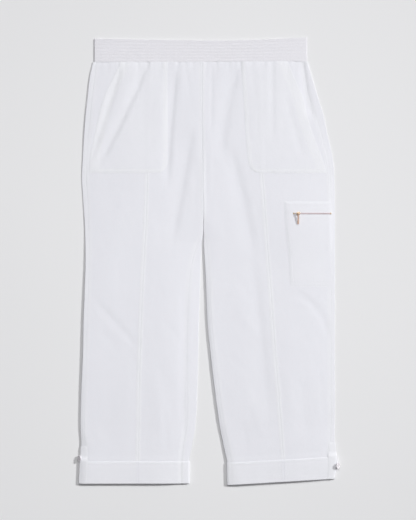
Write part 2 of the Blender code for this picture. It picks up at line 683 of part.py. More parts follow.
def unite(body, curve):
    """Joins a curve's tube to a body, as one closed mesh."""
    graph = bpy.context.evaluated_depsgraph_get()
    mesh = bpy.data.meshes.new_from_object(curve.evaluated_get(graph))
    bm = bmesh.new()
    bm.from_mesh(mesh)
    bmesh.ops.remove_doubles(bm, verts=bm.verts, dist=0.000001)
    bm.to_mesh(mesh)
    bm.free()
    tool = bpy.data.objects.new(curve.name + "_tool", mesh)
    tool.matrix_world = curve.matrix_world
    tool.hide_render = True
    tool.display_type = "WIRE"
    bpy.data.collections["cutters"].objects.link(tool)
    bpy.data.objects.remove(curve)
    union = body.modifiers.new("bridge", "BOOLEAN")
    union.operation = "UNION"
    union.object = tool


def build_pull(metal):
    """The pull tab: an eye round the slider's bar and a long plate that lies down over the pocket."""
    y, _ = slider_seat()
    x0, y0, _ = shifted((SLIDER_X, y, 0.0))
    bar = bar_height()
    inner, outer = EYE_RADII
    bm = bmesh.new()
    bmesh.ops.create_cone(
        bm, cap_ends=True, segments=EYE_SIDES, radius1=outer, radius2=outer, depth=EYE_WIDTH,
    )
    bmesh.ops.rotate(bm, verts=bm.verts, matrix=Matrix.Rotation(math.radians(90), 3, "Y"))
    eye = bmesh.new()
    bmesh.ops.create_cone(
        eye, cap_ends=True, segments=EYE_SIDES, radius1=inner, radius2=inner, depth=3 * EYE_WIDTH,
    )
    bmesh.ops.rotate(eye, verts=eye.verts, matrix=Matrix.Rotation(math.radians(90), 3, "Y"))
    tab = bmesh.new()
    near, far = (width / 2 for width in PULL_WIDTHS)
    root, shoulder = -(outer - 0.4), -(PULL_LENGTH - far)
    outline = []
    for step in range(PULL_STEPS + 1):
        part = step / PULL_STEPS
        outline.append((near + (far - near) * smooth(part), root + (shoulder - root) * part))
    for step in range(1, PULL_TIP_STEPS):
        turned = math.pi / 2 * step / PULL_TIP_STEPS
        outline.append((far * math.cos(turned), shoulder - far * math.sin(turned)))
    other_half = [(-across, down) for across, down in reversed(outline)]
    ring = [tab.verts.new((across, down, -PULL / 2)) for across, down in outline + other_half]
    face = tab.faces.new(ring)
    made = bmesh.ops.extrude_face_region(tab, geom=[face])
    upper = [element for element in made["geom"] if isinstance(element, bmesh.types.BMVert)]
    bmesh.ops.translate(tab, verts=upper, vec=(0, 0, PULL))
    place = Matrix.Translation((x0, y0, bar)) @ Matrix.Rotation(PULL_DROOP, 4, "X")
    for mesh in (bm, eye, tab):
        bmesh.ops.transform(mesh, matrix=Matrix.Scale(MM, 4) @ place, verts=mesh.verts)
    body = finish("zip_pull_tab", tab, metal)
    for name, mesh, operation in (("pull_ring", bm, "UNION"), ("pull_eye", eye, "DIFFERENCE")):
        tool = finish(name, mesh, metal)
        tool.hide_render = True
        tool.display_type = "WIRE"
        bpy.data.collections["capri_pants"].objects.unlink(tool)
        bpy.data.collections["cutters"].objects.link(tool)
        boolean = body.modifiers.new(name, "BOOLEAN")
        boolean.operation = operation
        boolean.object = tool


def tab_stations(leg):
    """(y, extra turn round the hem) of the tab's rows, from its tip to its end under the hem."""
    over_leg = [TAB_TOP, TAB_TOP - 8.0, TAB_TOP - 16.0, CUFF_TOP + TAB_RAMP / 2]
    straight = over_leg + [CUFF_TOP, -432.0, -447.0, leg.rows[-1]]
    turns = [math.radians(value) for value in (30, 60, 90, 120)]
    return [(y, 0.0) for y in straight] + [(leg.rows[-1], turned) for turned in turns]


def build_cuff_tab(leg, cloth):
    """The tab that comes from inside the leg, round the hem and up over the cuff's side."""
    stations = tab_stations(leg)
    quarter = 90 / TAB_ROUND_STEP
    lines = [1.0, 0.5]

    def place(line, row, side):
        y, turned = stations[round(row)]
        radius = leg.radius(y)
        step = math.radians(TAB_ROUND_STEP) * radius
        tip = TAB_TIP[round(row)] if row < len(TAB_TIP) else 1.0
        if line < len(lines):
            along = step * quarter + (TAB_REACH - step * quarter) * lines[round(line)] * tip
        else:
            along = step * (quarter + len(lines) - line)
        over_cuff = smooth((CUFF_TOP + TAB_RAMP - y) / TAB_RAMP)
        out = SEAM + CUFF_OUT * over_cuff + CLOTH * side
        if turned:
            middle_out = CUFF_GAP / 2
            reach = out - middle_out
            y, out = y - reach * math.sin(turned), middle_out + reach * math.cos(turned)
        return leg.point(y, along, out, False)

    wrap_steps = round((90 + TAB_WRAP_ANGLE) / TAB_ROUND_STEP)
    wall(f"{leg.name}_cuff_tab", (0, len(lines) + wrap_steps), (0, len(stations) - 1), place, cloth)


def build_button(leg, shell):
    """The tab's round button: a turned disc with a rim, on the rounded side of the cuff."""
    y = BUTTON_Y[leg.name]
    radius = leg.radius(y)
    section = leg.section(y)
    from_axis = radius + SEAM + CUFF_OUT + CLOTH + SEAM
    x = section.edge + leg.inward * radius - leg.inward * from_axis * math.cos(BUTTON_TILT)
    z = leg.floor(y) + radius + from_axis * math.sin(BUTTON_TILT)
    bm = bmesh.new()
    verts = [bm.verts.new((BUTTON_RADIUS * out, 0.0, BUTTON_DEPTH * up)) for out, up in BUTTON_PROFILE]
    for first, second in zip(verts, verts[1:]):
        bm.edges.new((first, second))
    bmesh.ops.spin(
        bm, geom=bm.verts[:] + bm.edges[:], cent=(0, 0, 0), axis=(0, 0, 1), angle=math.tau, steps=BUTTON_SIDES,
        use_merge=True, use_duplicate=False,
    )
    bmesh.ops.remove_doubles(bm, verts=bm.verts, dist=0.001)
    tilt = Matrix.Rotation(-leg.inward * (math.pi / 2 - BUTTON_TILT), 4, "Y")
    place = Matrix.Scale(MM, 4) @ Matrix.Translation(shifted((x, y, z))) @ tilt
    bmesh.ops.transform(bm, matrix=place, verts=bm.verts)
    finish(f"{leg.name}_tab_button", bm, shell)


def band_line(table, x):
    return float(np.interp(x, [row[0] for row in table], [row[1] for row in table]))


def build_waistband(elastic):
    """The pull-on waistband: its ribbed front, which wraps to both sides, and its plain back on the floor."""
    radius = BAND_DEPTH / 2
    quarter = math.pi / 2 * radius
    low, high = BAND_EDGES
    flat = high - low - 2 * radius
    across, round_steps = 12, 3
    rib_steps = 3

    def half(line, row, rows, side, front):
        """A point of one half of the band: lines run from its low edge over the flat to its high edge."""
        part = row / rows
        if front:
            outs = (-BAND, CHANNEL_RAISE * math.sin(math.pi * ((part * BAND_CHANNELS) % 1.0)) ** 0.5)
            if row % rib_steps == 0:
                outs = (-BAND, 0.0)
        else:
            outs = (-BAND, 0.0)
        out = outs[side]
        if line <= round_steps:
            angle = math.pi / 2 * (1 - line / round_steps) - (0.05 if line == 0 else 0.0)
            x, rise = low + radius - (radius + out) * math.sin(angle), (radius + out) * math.cos(angle)
        elif line >= round_steps + across:
            angle = math.pi / 2 * (line - round_steps - across) / round_steps
            angle -= 0.05 if line == 2 * round_steps + across else 0.0
            x, rise = high - radius + (radius + out) * math.sin(angle), (radius + out) * math.cos(angle)
        else:
            x, rise = low + radius + flat * (line - round_steps) / across, radius + out
        foot, top = band_line(BAND_FOOT, x), band_line(BAND_TOP, x)
        y = foot + (top - foot) * part
        return x, y, radius + rise if front else radius - rise

    rows = BAND_CHANNELS * rib_steps
    lines = (0, across + 2 * round_steps)
    wall("waistband_front", lines, (0, rows), lambda a, b, c: half(a, b, rows, c, True), elastic)
    wall("waistband_back", lines, (0, 2), lambda a, b, c: half(a, b, 2, c, False), elastic)


def main():
    for obj in list(bpy.data.objects):
        bpy.data.objects.remove(obj)
    for name in ("capri_pants", "cutters"):
        bpy.context.scene.collection.children.link(bpy.data.collections.new(name))
    cloth = make_material("cotton", (0.86, 0.87, 0.9), 0.85)
    elastic = make_material("ribbed_elastic", (0.8, 0.8, 0.84), 0.9)
    tape = make_material("zip_tape", (0.78, 0.78, 0.8), 0.9)
    metal = make_material("rose_gold", (0.78, 0.56, 0.44), 0.3, metallic=1.0)
    shell = make_material("button_shell", (0.85, 0.84, 0.84), 0.35)
    build_waistband(elastic)
    for leg in (RIGHT, LEFT):
        build_panels(leg, cloth)
        build_hip_pocket(leg, cloth)
        build_cuff_tab(leg, cloth)
        build_button(leg, shell)
    build_zip_pocket(cloth, tape, metal)
    build_slider(metal)
    build_pull(metal)


main()
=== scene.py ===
"""Looks of white cotton capri pants laid flat: the cloth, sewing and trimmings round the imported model.

Each leg is a flattened tube of cloth. A point of it is given by its height y, by how far it lies over
the cloth from an edge of the tube (along), and by how far it stands out from the cloth's outer face
(out). Pockets, cuffs, tabs and stitches are points of the cloth below them, moved out.

Lengths are millimetres up to the mesh makers, which turn them into metres. +X is the wearer's left, +Y
the waistband and +Z up from the floor.
"""

import logging
import math
from contextlib import contextmanager
from dataclasses import dataclass
from enum import Enum
from typing import Callable, Iterator, NamedTuple, Sequence

import bpy
import numpy as np
from mathutils import Matrix, Vector

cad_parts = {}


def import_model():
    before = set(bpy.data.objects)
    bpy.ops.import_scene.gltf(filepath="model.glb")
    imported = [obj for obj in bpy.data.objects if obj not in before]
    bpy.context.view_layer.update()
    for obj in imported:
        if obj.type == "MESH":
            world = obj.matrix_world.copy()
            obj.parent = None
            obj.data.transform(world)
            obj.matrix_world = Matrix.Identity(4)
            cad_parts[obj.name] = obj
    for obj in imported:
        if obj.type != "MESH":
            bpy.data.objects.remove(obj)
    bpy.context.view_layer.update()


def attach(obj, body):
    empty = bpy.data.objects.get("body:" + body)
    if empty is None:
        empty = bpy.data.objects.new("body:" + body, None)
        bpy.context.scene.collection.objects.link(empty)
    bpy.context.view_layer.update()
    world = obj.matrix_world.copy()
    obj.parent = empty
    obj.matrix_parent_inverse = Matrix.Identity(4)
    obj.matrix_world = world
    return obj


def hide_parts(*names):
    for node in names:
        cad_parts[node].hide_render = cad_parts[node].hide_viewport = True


LOG = logging.getLogger("capri_pants")
Array = np.ndarray
Object, Socket = bpy.types.Object, bpy.types.NodeSocket
MM = 0.001

# Cloth, seams and plies
WALL = 0.4
PATCH_WALL = 0.32
TAB_WALL = 0.42
BAND_WALL = 1.0
REST = 0.04  # between a patch and the cloth that it lies on
PRESSED = 0.6  # share of a patch's wall that pressing takes away at its edge
PRESS_REACH = 3.0
HALF_SEAM = 0.03
SQUARE = 0.62  # under 1, it squares the rounded edges of the flattened tube
MIDDLE_DEPTHS = (  # how thick a leg is away from its edges, by height
    (413.5, 3.1), (380.0, 3.4), (330.0, 3.8), (180.0, 3.9), (60.0, 4.4), (-60.0, 5.0), (-335.0, 5.0),
    (-415.0, 4.2), (-462.0, 4.2),
)
FOLD_REACH = 12.0  # over what way from a leg's edges its folds fade in
FOLD_ENDS = 0.24  # share of a fold's length over which each of its ends fades
LOWEST_FRONT = 0.95
HIGHEST_FRONT = 7.4
WAIST_PUCKER = 0.3
WAIST_TUCK = (0.5, 8.0)  # how far the front sinks to the waist seam, and over what way
RUMPLE_HEIGHTS = (0.22, 0.06)  # of the broad and the fine rumples
DIP = 0.03  # how deep a seam draws the cloth in
DIP_REACH = 1.3
PINCH = 0.25  # share of the wall that rounds off at a cut edge
PINCH_REACH = 0.4
PUCKER = (0.05, 6.0)  # height by a sewn edge, and over what way it fades
EDGE_ROWS = (0.0, 0.3, 0.8, 1.5)  # rows of points that round off a cut edge
CLOTH_SMOOTH = math.radians(55)
SHARP = math.radians(50)  # metal edges sharper than this are bevelled

# Heights, from the middle of the garment
WAIST_SEAM = 413.5
TOP_ROW = 413.75
CROTCH = 68.0
CUFF_TOP = -415.5
HEM = -461.8
MIDDLE = (-1.95, -1.67)
HIP_LINE = 350.0  # above it, the front rises to the waistband's foot
FORK_TURN = (7, 34)  # least turn of the inner edge over the crotch, in degrees, and its reach
HEM_LIFT = (145.0, -300.0, 120.0)  # x of its middle, and where its fade starts and how long it is
CUFF_OUT = 1.35
CUFF_GAP = CUFF_OUT - WALL
CUFF_LIP = (0.45, 0.16, 7.5)  # how far its edge and its stitched line dip, and how far down the line lies
CUFF_SWELL = (0.42, 14)  # how much the turned-up end lifts the front, and over what way
FLOOR_RISE = (-335.0, CUFF_TOP)
HEM_ROW = HEM + CUFF_OUT - CUFF_GAP / 2

# Waistband
BAND_DEPTH = 2.7
BAND_CUT = 50.0  # its height as cut
BAND_BRIM = (0.3, 1.8)  # height of the rim at its top edge, and over what way it fades
BAND_CHANNELS = 7
BAND_EDGES = (-238.5, 205.0)
BAND_TOP = ((-238.5, 462.2), (-90.0, 459.6), (10.0, 458.2), (70.0, 459.0), (130.0, 461.4), (205.0, 465.3))
BAND_FOOT = ((-238.5, 413.8), (-90.0, 413.8), (65.0, 414.6), (169.0, 415.6), (205.0, 414.0))
BAND_THINNER = (0.32, 0.5, 30.0)  # shares by which its low and high ends are thinner, and their reach

# Pockets
POCKET_FOOT = 182.5
POCKET_CORNER = 24.0
MOUTH_LIFT = 0.05
POCKET_SLACK = 0.1
ZIP_POCKET_TOP = 124.4
ZIP_POCKET_FOOT = -54.5
ZIP_LINE = 98.5
ZIP_LIPS = (ZIP_LINE + 1.2, ZIP_LINE - 1.2)
ZIP_FRAME = 15.2  # the rows of stitches above and below the zip
ZIP_TAPE = (110.9, 85.9)
ZIP_SHARE = 0.77  # where the slot ends, from the pocket-mouth line to the patch's front edge
ZIP_OUT = 0.78  # how far the patch's outer face stands off the thigh over the tape
TAPE_OUT = (0.08, 0.36)
ZIP_SWELL = (190.0, 84.0, 80.0, 90.0, 2.0)  # x, y, reaches and height of the thigh's swell below the zip

# Zip slider and pull tab
SLIDER_X = 186.0
SLIDER_SEAT = 8.0  # height of its underside over the floor
SLIDER_LENGTH = 7.6
SLIDER_WIDTH = 6.2
SLIDER_PLATE = 1.5
BAR_RADIUS = 0.6
BAR_RISE = 2.3
EYE_RADII = (1.0, 1.85)
EYE_WIDTH = 2.6
PULL_LENGTH = 23.0
PULL_WIDTHS = (2.6, 3.5)
PULL = 1.2
PULL_DROOP = math.radians(9.6)

# Cuff tabs and buttons
TAB_REACH = 14.0
TAB_WRAP = math.radians(30)
TAB_TOP = -384.0
TAB_RAMP = 11.0
TAB_TIP = (9.0, 0.45)  # how long its rounded tip is, and the share of its width that the tip starts with
TAB_SEWN = 0.6  # where the stitches lie in its wall
BUTTON_Y = {"right": -411.0, "left": -426.5}
TAB_BULGE = {  # how far a tab stands away from the leg's edge, by height
    "right": ((-462.0, 2.6), (-450.0, 2.6), (-437.0, 1.8), (-410.0, 1.8), (-395.0, 1.2), (-384.0, 0.8)),
    "left": (
        (-462.0, 0.0), (-455.0, 0.3), (-446.0, 1.8), (-438.0, 5.6), (-427.0, 4.8), (-414.0, 2.8),
        (-395.0, 1.8), (-384.0, 0.8),
    ),
}
BUTTON_RADIUS = 6.3
BUTTON_DEPTH = 1.9
BUTTON_TILT = math.radians(40)
BUTTON_CLEARANCE = 0.1  # how far its rim clears the floor, at least
BUTTON_RINGS = (0.0012, 0.0008)  # widths of its rim and of the slope inside it, in metres
BUTTON_DISH = 0.38  # how deep its face lies, as a share of its depth
BUTTON_HOLES = (0.0007, 0.0015)  # radius of a hole, and its distance from the middle, in metres
BUTTON_THREAD = (0.64, 0.22, 1.5, 2.9)  # its level, as a share of the depth; aside, half the way, length

# Sewing
STITCH_PITCH = 3.0
STITCH_LENGTH = 2.3
THREAD_WIDTH = 0.42
SHORT_STITCH = (2.6, 2.0)  # pitch and length
EDGE_STITCH = 1.8
SECOND_STITCH = 7.8

# Noise in the finishes
WEFT_STRETCH = (60.0, 1500.0, 1.0)
WARP_STRETCH = (1500.0, 60.0, 1.0)
WEAVE_HEIGHT = 1.2
BROAD_NOISE = (9.0, 2.0)  # scale and detail
FINE_NOISE = (140.0, 3.0)
UNEVEN_RANGE = (0.3, 0.7)  # what most of the unevenness lies between


class Section(NamedTuple):
    """One cross-section of a leg, and where its lines run there."""

    y: float
    edge: float
    side_seam: float
    mouth: float
    thigh: float
    front_seam: float
    pocket: float
    inner: float
    inseam: float


RIGHT_SECTIONS = tuple(Section(*row) for row in (
    (413.5, -241.0, 7.0, -183.5, -153.5, -122.0, -85.5, -14.0, 0.0),
    (380.0, -248.3, 10.0, -199.0, -161.5, -123.0, -85.5, -14.0, 0.0),
    (340.5, -252.6, 9.5, -218.0, -172.0, -124.0, -85.5, -14.0, 0.0),
    (303.5, -256.5, 9.5, -228.5, -178.5, -125.0, -85.5, -14.0, 0.0),
    (261.5, -259.7, 8.5, -237.5, -182.5, -126.5, -85.5, -13.5, 0.0),
    (209.5, -262.7, 8.5, -247.5, -188.5, -127.5, -85.5, -12.5, 0.0),
    (178.5, -264.2, 9.0, -249.0, -190.5, -128.5, -85.5, -12.5, 0.0),
    (126.5, -261.5, 9.0, -242.5, -190.5, -129.5, -84.5, -11.5, 0.0),
    (68.0, -257.8, 7.5, -234.5, -186.5, -131.5, -82.5, -11.0, 0.0),
    (33.0, -257.0, 7.0, -228.0, -184.5, -133.5, -81.5, -15.0, 10.5),
    (-2.5, -256.8, 7.0, -224.0, -182.5, -135.5, -83.5, -16.9, 19.0),
    (-50.5, -258.3, 7.5, -221.0, -182.5, -138.0, -89.0, -18.2, 24.0),
    (-123.0, -261.0, 8.0, -220.0, -182.5, -141.0, -92.0, -20.7, 24.5),
    (-206.5, -262.8, 7.5, -222.0, -184.5, -143.5, -95.0, -22.2, 24.5),
    (-289.5, -266.2, 8.0, -226.0, -187.5, -145.5, -96.0, -24.6, 20.5),
    (-341.5, -267.0, 7.5, -227.0, -188.5, -146.0, -98.0, -28.0, 19.0),
    (-383.0, -265.3, 7.5, -228.0, -188.5, -147.0, -100.5, -34.6, 19.5),
    (-418.5, -265.5, 8.0, -229.0, -189.5, -147.0, -101.5, -41.0, 16.0),
    (-462.0, -266.3, 8.5, -229.0, -189.5, -147.5, -101.5, -41.8, 16.0),
))
LEFT_SECTIONS = tuple(Section(*row) for row in (
    (413.5, 205.5, 7.5, 164.0, 133.5, 105.5, 67.5, -14.0, 0.0),
    (380.0, 215.5, 14.0, 178.5, 142.0, 106.5, 69.5, -14.0, 0.0),
    (340.5, 227.5, 18.5, 196.0, 150.5, 107.5, 72.5, -14.0, 0.0),
    (303.5, 239.0, 17.5, 205.0, 154.5, 108.0, 75.0, -14.0, 0.0),
    (261.5, 247.5, 13.0, 218.0, 156.5, 109.0, 77.0, -13.5, 0.0),
    (209.5, 259.0, 11.0, 237.5, 157.0, 110.0, 81.5, -12.5, 0.0),
    (178.5, 261.5, 9.5, 246.0, 156.5, 111.0, 83.0, -12.5, 0.0),
    (126.5, 262.5, 8.5, 243.0, 156.5, 115.0, 79.5, -11.5, 0.0),
    (68.0, 262.5, 8.5, 240.0, 159.5, 119.0, 75.5, -11.0, 0.0),
    (33.0, 262.5, 8.5, 237.5, 164.0, 121.5, 73.5, -10.3, 7.0),
    (-2.5, 262.5, 8.5, 235.5, 167.0, 124.0, 72.5, -8.3, 8.5),
    (-50.5, 262.5, 8.5, 231.5, 169.5, 128.0, 72.5, -5.8, 8.5),
    (-123.0, 262.5, 8.5, 225.5, 172.0, 133.0, 74.5, -3.0, 9.5),
    (-206.5, 262.3, 8.5, 222.0, 175.5, 139.0, 79.5, 5.0, 10.5),
    (-289.5, 263.0, 9.0, 220.0, 179.5, 146.0, 88.0, 15.0, 10.5),
    (-341.5, 262.3, 8.5, 219.0, 181.5, 150.0, 92.0, 22.5, 10.5),
    (-383.0, 262.2, 9.5, 218.0, 183.5, 153.0, 97.5, 31.5, 10.5),
    (-418.5, 262.3, 9.0, 217.0, 184.5, 155.5, 99.5, 38.3, 9.0),
    (-462.0, 261.0, 8.5, 217.0, 185.5, 156.5, 100.5, 39.6, 9.0),
))


class EdgeForm(NamedTuple):
    """How much thinner a leg is at its edge than in its middle, and how soon it thickens, at one height."""

    y: float
    drop: float
    reach: float


CENTRE_EDGE = (EdgeForm(413.5, 0.0, 5.0), EdgeForm(102.0, 0.1, 20.0), EdgeForm(80.0, 0.3, 20.0))
RIGHT_OUTER_EDGE = tuple(EdgeForm(*row) for row in (
    (413.5, 1.3, 80.0), (380.0, 1.2, 90.0), (355.0, 1.4, 100.0), (314.0, 1.4, 110.0),
    (272.0, 1.35, 110.0), (230.0, 1.95, 120.0), (189.0, 2.55, 120.0), (147.0, 2.8, 120.0),
    (106.0, 2.7, 110.0), (64.0, 2.5, 100.0), (22.0, 1.7, 70.0), (-19.0, 1.2, 50.0),
    (-61.0, 0.9, 40.0), (-102.0, 0.7, 30.0), (-144.0, 0.4, 12.0), (-200.0, 0.15, 6.0),
    (-240.0, 0.3, 6.0), (-269.0, 0.7, 8.0), (-330.0, 0.9, 9.0), (-362.0, 1.4, 10.0),
    (-385.0, 2.1, 17.0), (-462.0, 2.2, 18.0),
))
LEFT_OUTER_EDGE = tuple(EdgeForm(*row) for row in (
    (413.5, 1.1, 50.0), (330.0, 2.6, 110.0), (180.0, 2.7, 110.0), (60.0, 3.2, 110.0),
    (-60.0, 3.8, 110.0), (-335.0, 3.8, 110.0), (-415.0, 3.1, 100.0), (-462.0, 3.1, 100.0),
))
RIGHT_INNER_EDGE = tuple(EdgeForm(*row) for row in (
    *CENTRE_EDGE, (40.0, 2.4, 80.0), (0.0, 3.4, 90.0), (-60.0, 3.8, 90.0),
    (-335.0, 3.8, 90.0), (-415.0, 3.1, 80.0), (-462.0, 3.1, 80.0),
))
LEFT_INNER_EDGE = tuple(EdgeForm(*row) for row in (
    *CENTRE_EDGE, (43.0, 1.6, 40.0), (14.0, 1.2, 30.0), (-40.0, 1.2, 14.0),
    (-92.0, 1.4, 10.0), (-196.0, 1.1, 11.0), (-300.0, 0.8, 12.0), (-345.0, 1.3, 14.0),
    (-362.0, 1.8, 16.0), (-415.0, 1.7, 22.0), (-462.0, 1.7, 24.0),
))


class Fold(NamedTuple):
    """A soft ridge (lift over 0) or trough (under 0), along an arc between two points of the front."""

    x0: float
    y0: float
    x1: float
    y1: float
    bow: float
    width: float
    lift: float
    lean: float = 1.0  # how much wider its side towards -x is


FOLDS = tuple(Fold(*row) for row in (
    # right hip: drag lines from the waistband down to the pocket's outer corner
    (-176.0, 424.0, -252.0, 192.0, 1.0, 6.5, -1.15, 1.3),
    (-122.0, 424.0, -238.0, 184.0, 4.6, 5.5, -1.65, 2.2),
    (-65.0, 428.0, -87.0, 140.0, -2.5, 6.0, -1.25, 2.4),
    # crotch whisker
    (-33.0, 290.0, -81.0, 20.0, 1.0, 9.0, -1.35, 2.2),
    # left hip and thigh: the broad trough that runs down the leg
    (7.0, 420.0, 5.0, 262.0, 0.0, 4.0, -0.35, 1.0),
    (63.0, 425.0, 23.0, 205.0, -5.5, 11.0, -1.15, 1.5),
    (36.0, 254.0, 92.0, -4.0, 7.0, 11.0, -1.1, 1.9),
    (91.0, 26.0, 130.0, -345.0, -2.0, 10.0, -0.7, 1.8),
    (132.0, 425.0, 134.0, 246.0, 0.0, 6.0, -0.5, 1.4),
    (158.0, 346.0, 199.0, 204.0, 0.0, 8.0, -0.35, 1.0),
    (197.0, 432.0, 221.0, 287.0, -6.0, 5.0, -1.3, 2.2),
    # knees
    (-242.0, -78.0, -142.0, -186.0, 0.0, 9.0, -0.35, 1.0),
    (169.0, -58.0, 254.0, -178.0, 20.0, 8.0, -0.4, 1.0),
    (60.0, -80.0, 118.0, -170.0, -8.0, 14.0, 0.25, 1.0),
    # shins
    (-47.0, -14.0, -54.0, -380.0, 0.0, 7.0, -0.6, 1.7),
    (-118.0, -215.0, -104.0, -370.0, 4.0, 13.0, 0.25, 1.0),
    (-205.0, -250.0, -214.0, -385.0, 3.0, 13.0, -0.25, 1.0),
    (70.0, -250.0, 112.0, -375.0, 5.0, 13.0, 0.25, 1.0),
    (192.0, -240.0, 205.0, -380.0, -4.0, 13.0, -0.3, 1.0),
))

CREASES = tuple(Fold(*row) for row in (  # finer than the folds above
    (-45.0, -300.0, -59.0, -425.0, 0.0, 3.0, -0.3, 1.6),
    (-58.5, -400.0, -58.5, -480.0, 0.0, 3.0, -0.3, 1.6),
    (-196.0, 404.0, -214.0, 330.0, 0.0, 4.0, -0.12),
    (-88.0, 404.0, -98.0, 300.0, 0.0, 5.0, -0.15),
    (-46.0, 404.0, -38.0, 330.0, 0.0, 4.0, -0.15),
    (60.0, 404.0, 52.0, 350.0, 0.0, 4.5, -0.2),
    (92.0, 404.0, 96.0, 330.0, 0.0, 5.0, -0.15),
    (-34.0, 200.0, -30.0, 100.0, 3.0, 5.0, -0.12),
    (8.0, 240.0, 4.0, 120.0, -3.0, 6.0, 0.15),
    (-176.0, 150.0, -204.0, 20.0, 3.0, 10.0, 0.15),
    (-100.0, 120.0, -106.0, 0.0, -2.0, 10.0, -0.15),
    (-190.0, 10.0, -188.0, -70.0, 2.0, 8.0, -0.12),
    (-60.0, 10.0, -110.0, -60.0, 6.0, 8.0, 0.15),
    (-232.0, -140.0, -182.0, -206.0, 5.0, 7.0, -0.12),
    (-100.0, -120.0, -60.0, -170.0, 4.0, 8.0, -0.15),
    (40.0, -20.0, 92.0, -90.0, 6.0, 8.0, -0.15),
    (170.0, -100.0, 206.0, -190.0, 6.0, 9.0, -0.12),
    (36.0, -196.0, 84.0, -240.0, 4.0, 8.0, -0.15),
    (156.0, -210.0, 176.0, -330.0, 2.0, 10.0, 0.15),
    (232.0, -230.0, 240.0, -330.0, 0.0, 6.0, -0.1),
    (-166.0, -230.0, -176.0, -350.0, 0.0, 9.0, 0.12),
    (-96.0, -300.0, -88.0, -400.0, 2.0, 6.0, -0.12),
    (66.0, -330.0, 84.0, -404.0, 2.0, 7.0, -0.12),
))


class Gather(NamedTuple):
    """A small pleat that the elastic draws in under the waistband."""

    x: float
    depth: float


GATHERS = tuple(Gather(*row) for row in (
    (-210.5, 0.35), (-174.0, 0.5), (-147.0, 0.45), (-127.0, 0.6), (-104.5, 0.3),
    (-63.0, 0.7), (-48.5, 0.35), (-33.5, 0.35), (-8.5, 0.5), (16.0, 0.45),
    (41.0, 0.35), (66.0, 0.8), (89.0, 0.35), (107.5, 0.3), (132.5, 0.55),
    (164.0, 0.3), (180.5, 0.5),
))
GATHER_WIDTH = 4.5
GATHER_REACH = 15.0
PUCKER_REACH = 7.0  # fine puckers between the gathers die out this far below the seam


class Side(Enum):
    """Which of the leg's two front panels a piece of cloth is."""

    CENTRE = "front_centre"
    OUTER = "front_side"


# ---------------------------------------------------------------- numbers


def smooth(value: Array | float) -> Array:
    """0 below 0, 1 above 1, and a soft S between them."""
    value = np.clip(value, 0.0, 1.0)
    return value * value * (3 - 2 * value)


def bell(value: Array | float) -> Array:
    """A soft bump, 1 at 0."""
    return np.exp(-np.square(value))


def monotone_slopes(table: Array) -> Array:
    """Slopes of each column at each row, so that a smooth curve never swings past the rows."""
    steps = np.diff(table, axis=0) / np.diff(table[:, :1], axis=0)
    before, after = steps[:-1], steps[1:]
    product = before * after
    same_way = product > 0
    inner = np.where(same_way, 2 * product / np.where(same_way, before + after, 1.0), 0.0)
    return np.vstack([steps[:1], inner, steps[-1:]])


def fold_height(fold: Fold, x: Array, y: Array) -> Array:
    """What one fold adds to the front's height.

    Args:
        fold: the fold.
        x: across, in mm.
        y: along, in mm.

    Returns:
        The added height, in mm.
    """
    along_x, along_y = fold.x1 - fold.x0, fold.y1 - fold.y0
    length = math.hypot(along_x, along_y)
    along = ((x - fold.x0) * along_x + (y - fold.y0) * along_y) / length**2
    aside = (along_x * (y - fold.y0) - along_y * (x - fold.x0)) / length
    aside = aside - fold.bow * 4 * along * (1 - along)
    ends = smooth(along / FOLD_ENDS) * smooth((1 - along) / FOLD_ENDS)
    width = fold.width * np.where(aside < 0, fold.lean, 1.0)
    return fold.lift * bell(aside / width) * ends


@dataclass(frozen=True)
class Rumple:
    """Smooth random relief from -1 to 1, the same each run.

    Attributes:
        seed: the pattern's number.
        across: how far apart its bumps are along the first coordinate, in mm.
        down: the same along the second.
    """

    seed: int
    across: float
    down: float

    def at(self, x: Array, y: Array) -> Array:
        """The relief at each point."""
        size = 64
        table = np.random.default_rng(self.seed).uniform(-1, 1, (size, size))
        u, v = np.broadcast_arrays(np.asarray(x, float) / self.across, np.asarray(y, float) / self.down)
        column, row = np.floor(u).astype(int), np.floor(v).astype(int)
        part, down = smooth(u - column), smooth(v - row)
        corner = [table[(row + j) % size, (column + i) % size] for j in (0, 1) for i in (0, 1)]
        above = corner[0] * (1 - part) + corner[1] * part
        below = corner[2] * (1 - part) + corner[3] * part
        return above * (1 - down) + below * down


BROAD_RUMPLE = Rumple(3, 34.0, 78.0)
FINE_RUMPLE = Rumple(5, 11.0, 21.0)
SEAM_RUMPLE = Rumple(7, 6.5, 9.0)
PUCKERS = Rumple(11, 5.5, 60.0)
BAND_PUCKERS = Rumple(13, 2.6, 1.0)
BAND_WAVES = Rumple(17, 9.0, 30.0)


def seam_dip(away: Array) -> Array:
    """How far the cloth sinks into a seam that lies this far away."""
    return -DIP * bell(away / DIP_REACH)


def pinch(away: Array) -> Array:
    """How much of the wall rounds off this far from a cut edge."""
    return PINCH * bell(away / PINCH_REACH)


def pressed(wall: float, away: Array, share: float | Array = PRESSED) -> Array:
    """A patch's wall, pressed thinner towards an edge that lies this far away."""
    return wall * (1 - share * np.exp(-away / PRESS_REACH))


def steps_from(first: Array, last: Array, near: Sequence[float], count: int) -> Array:
    """Positions from one edge to another, close together by both edges.

    Args:
        first: the first edge's position in each row.
        last: the last edge's.
        near: distances from each edge of the close positions, the first of them 0.
        count: positions between the close ones.

    Returns:
        An array of a row for each of first's.
    """
    way = np.sign(last - first)[:, None]
    near_array = np.array(near)[None, :]
    low, high = first[:, None] + way * near_array, last[:, None] - way * near_array
    part = np.linspace(0, 1, count + 2)[None, 1:-1]
    middle = low[:, -1:] + (high[:, -1:] - low[:, -1:]) * part
    return np.hstack([low, middle, high[:, ::-1]])


# ---------------------------------------------------------------- legs


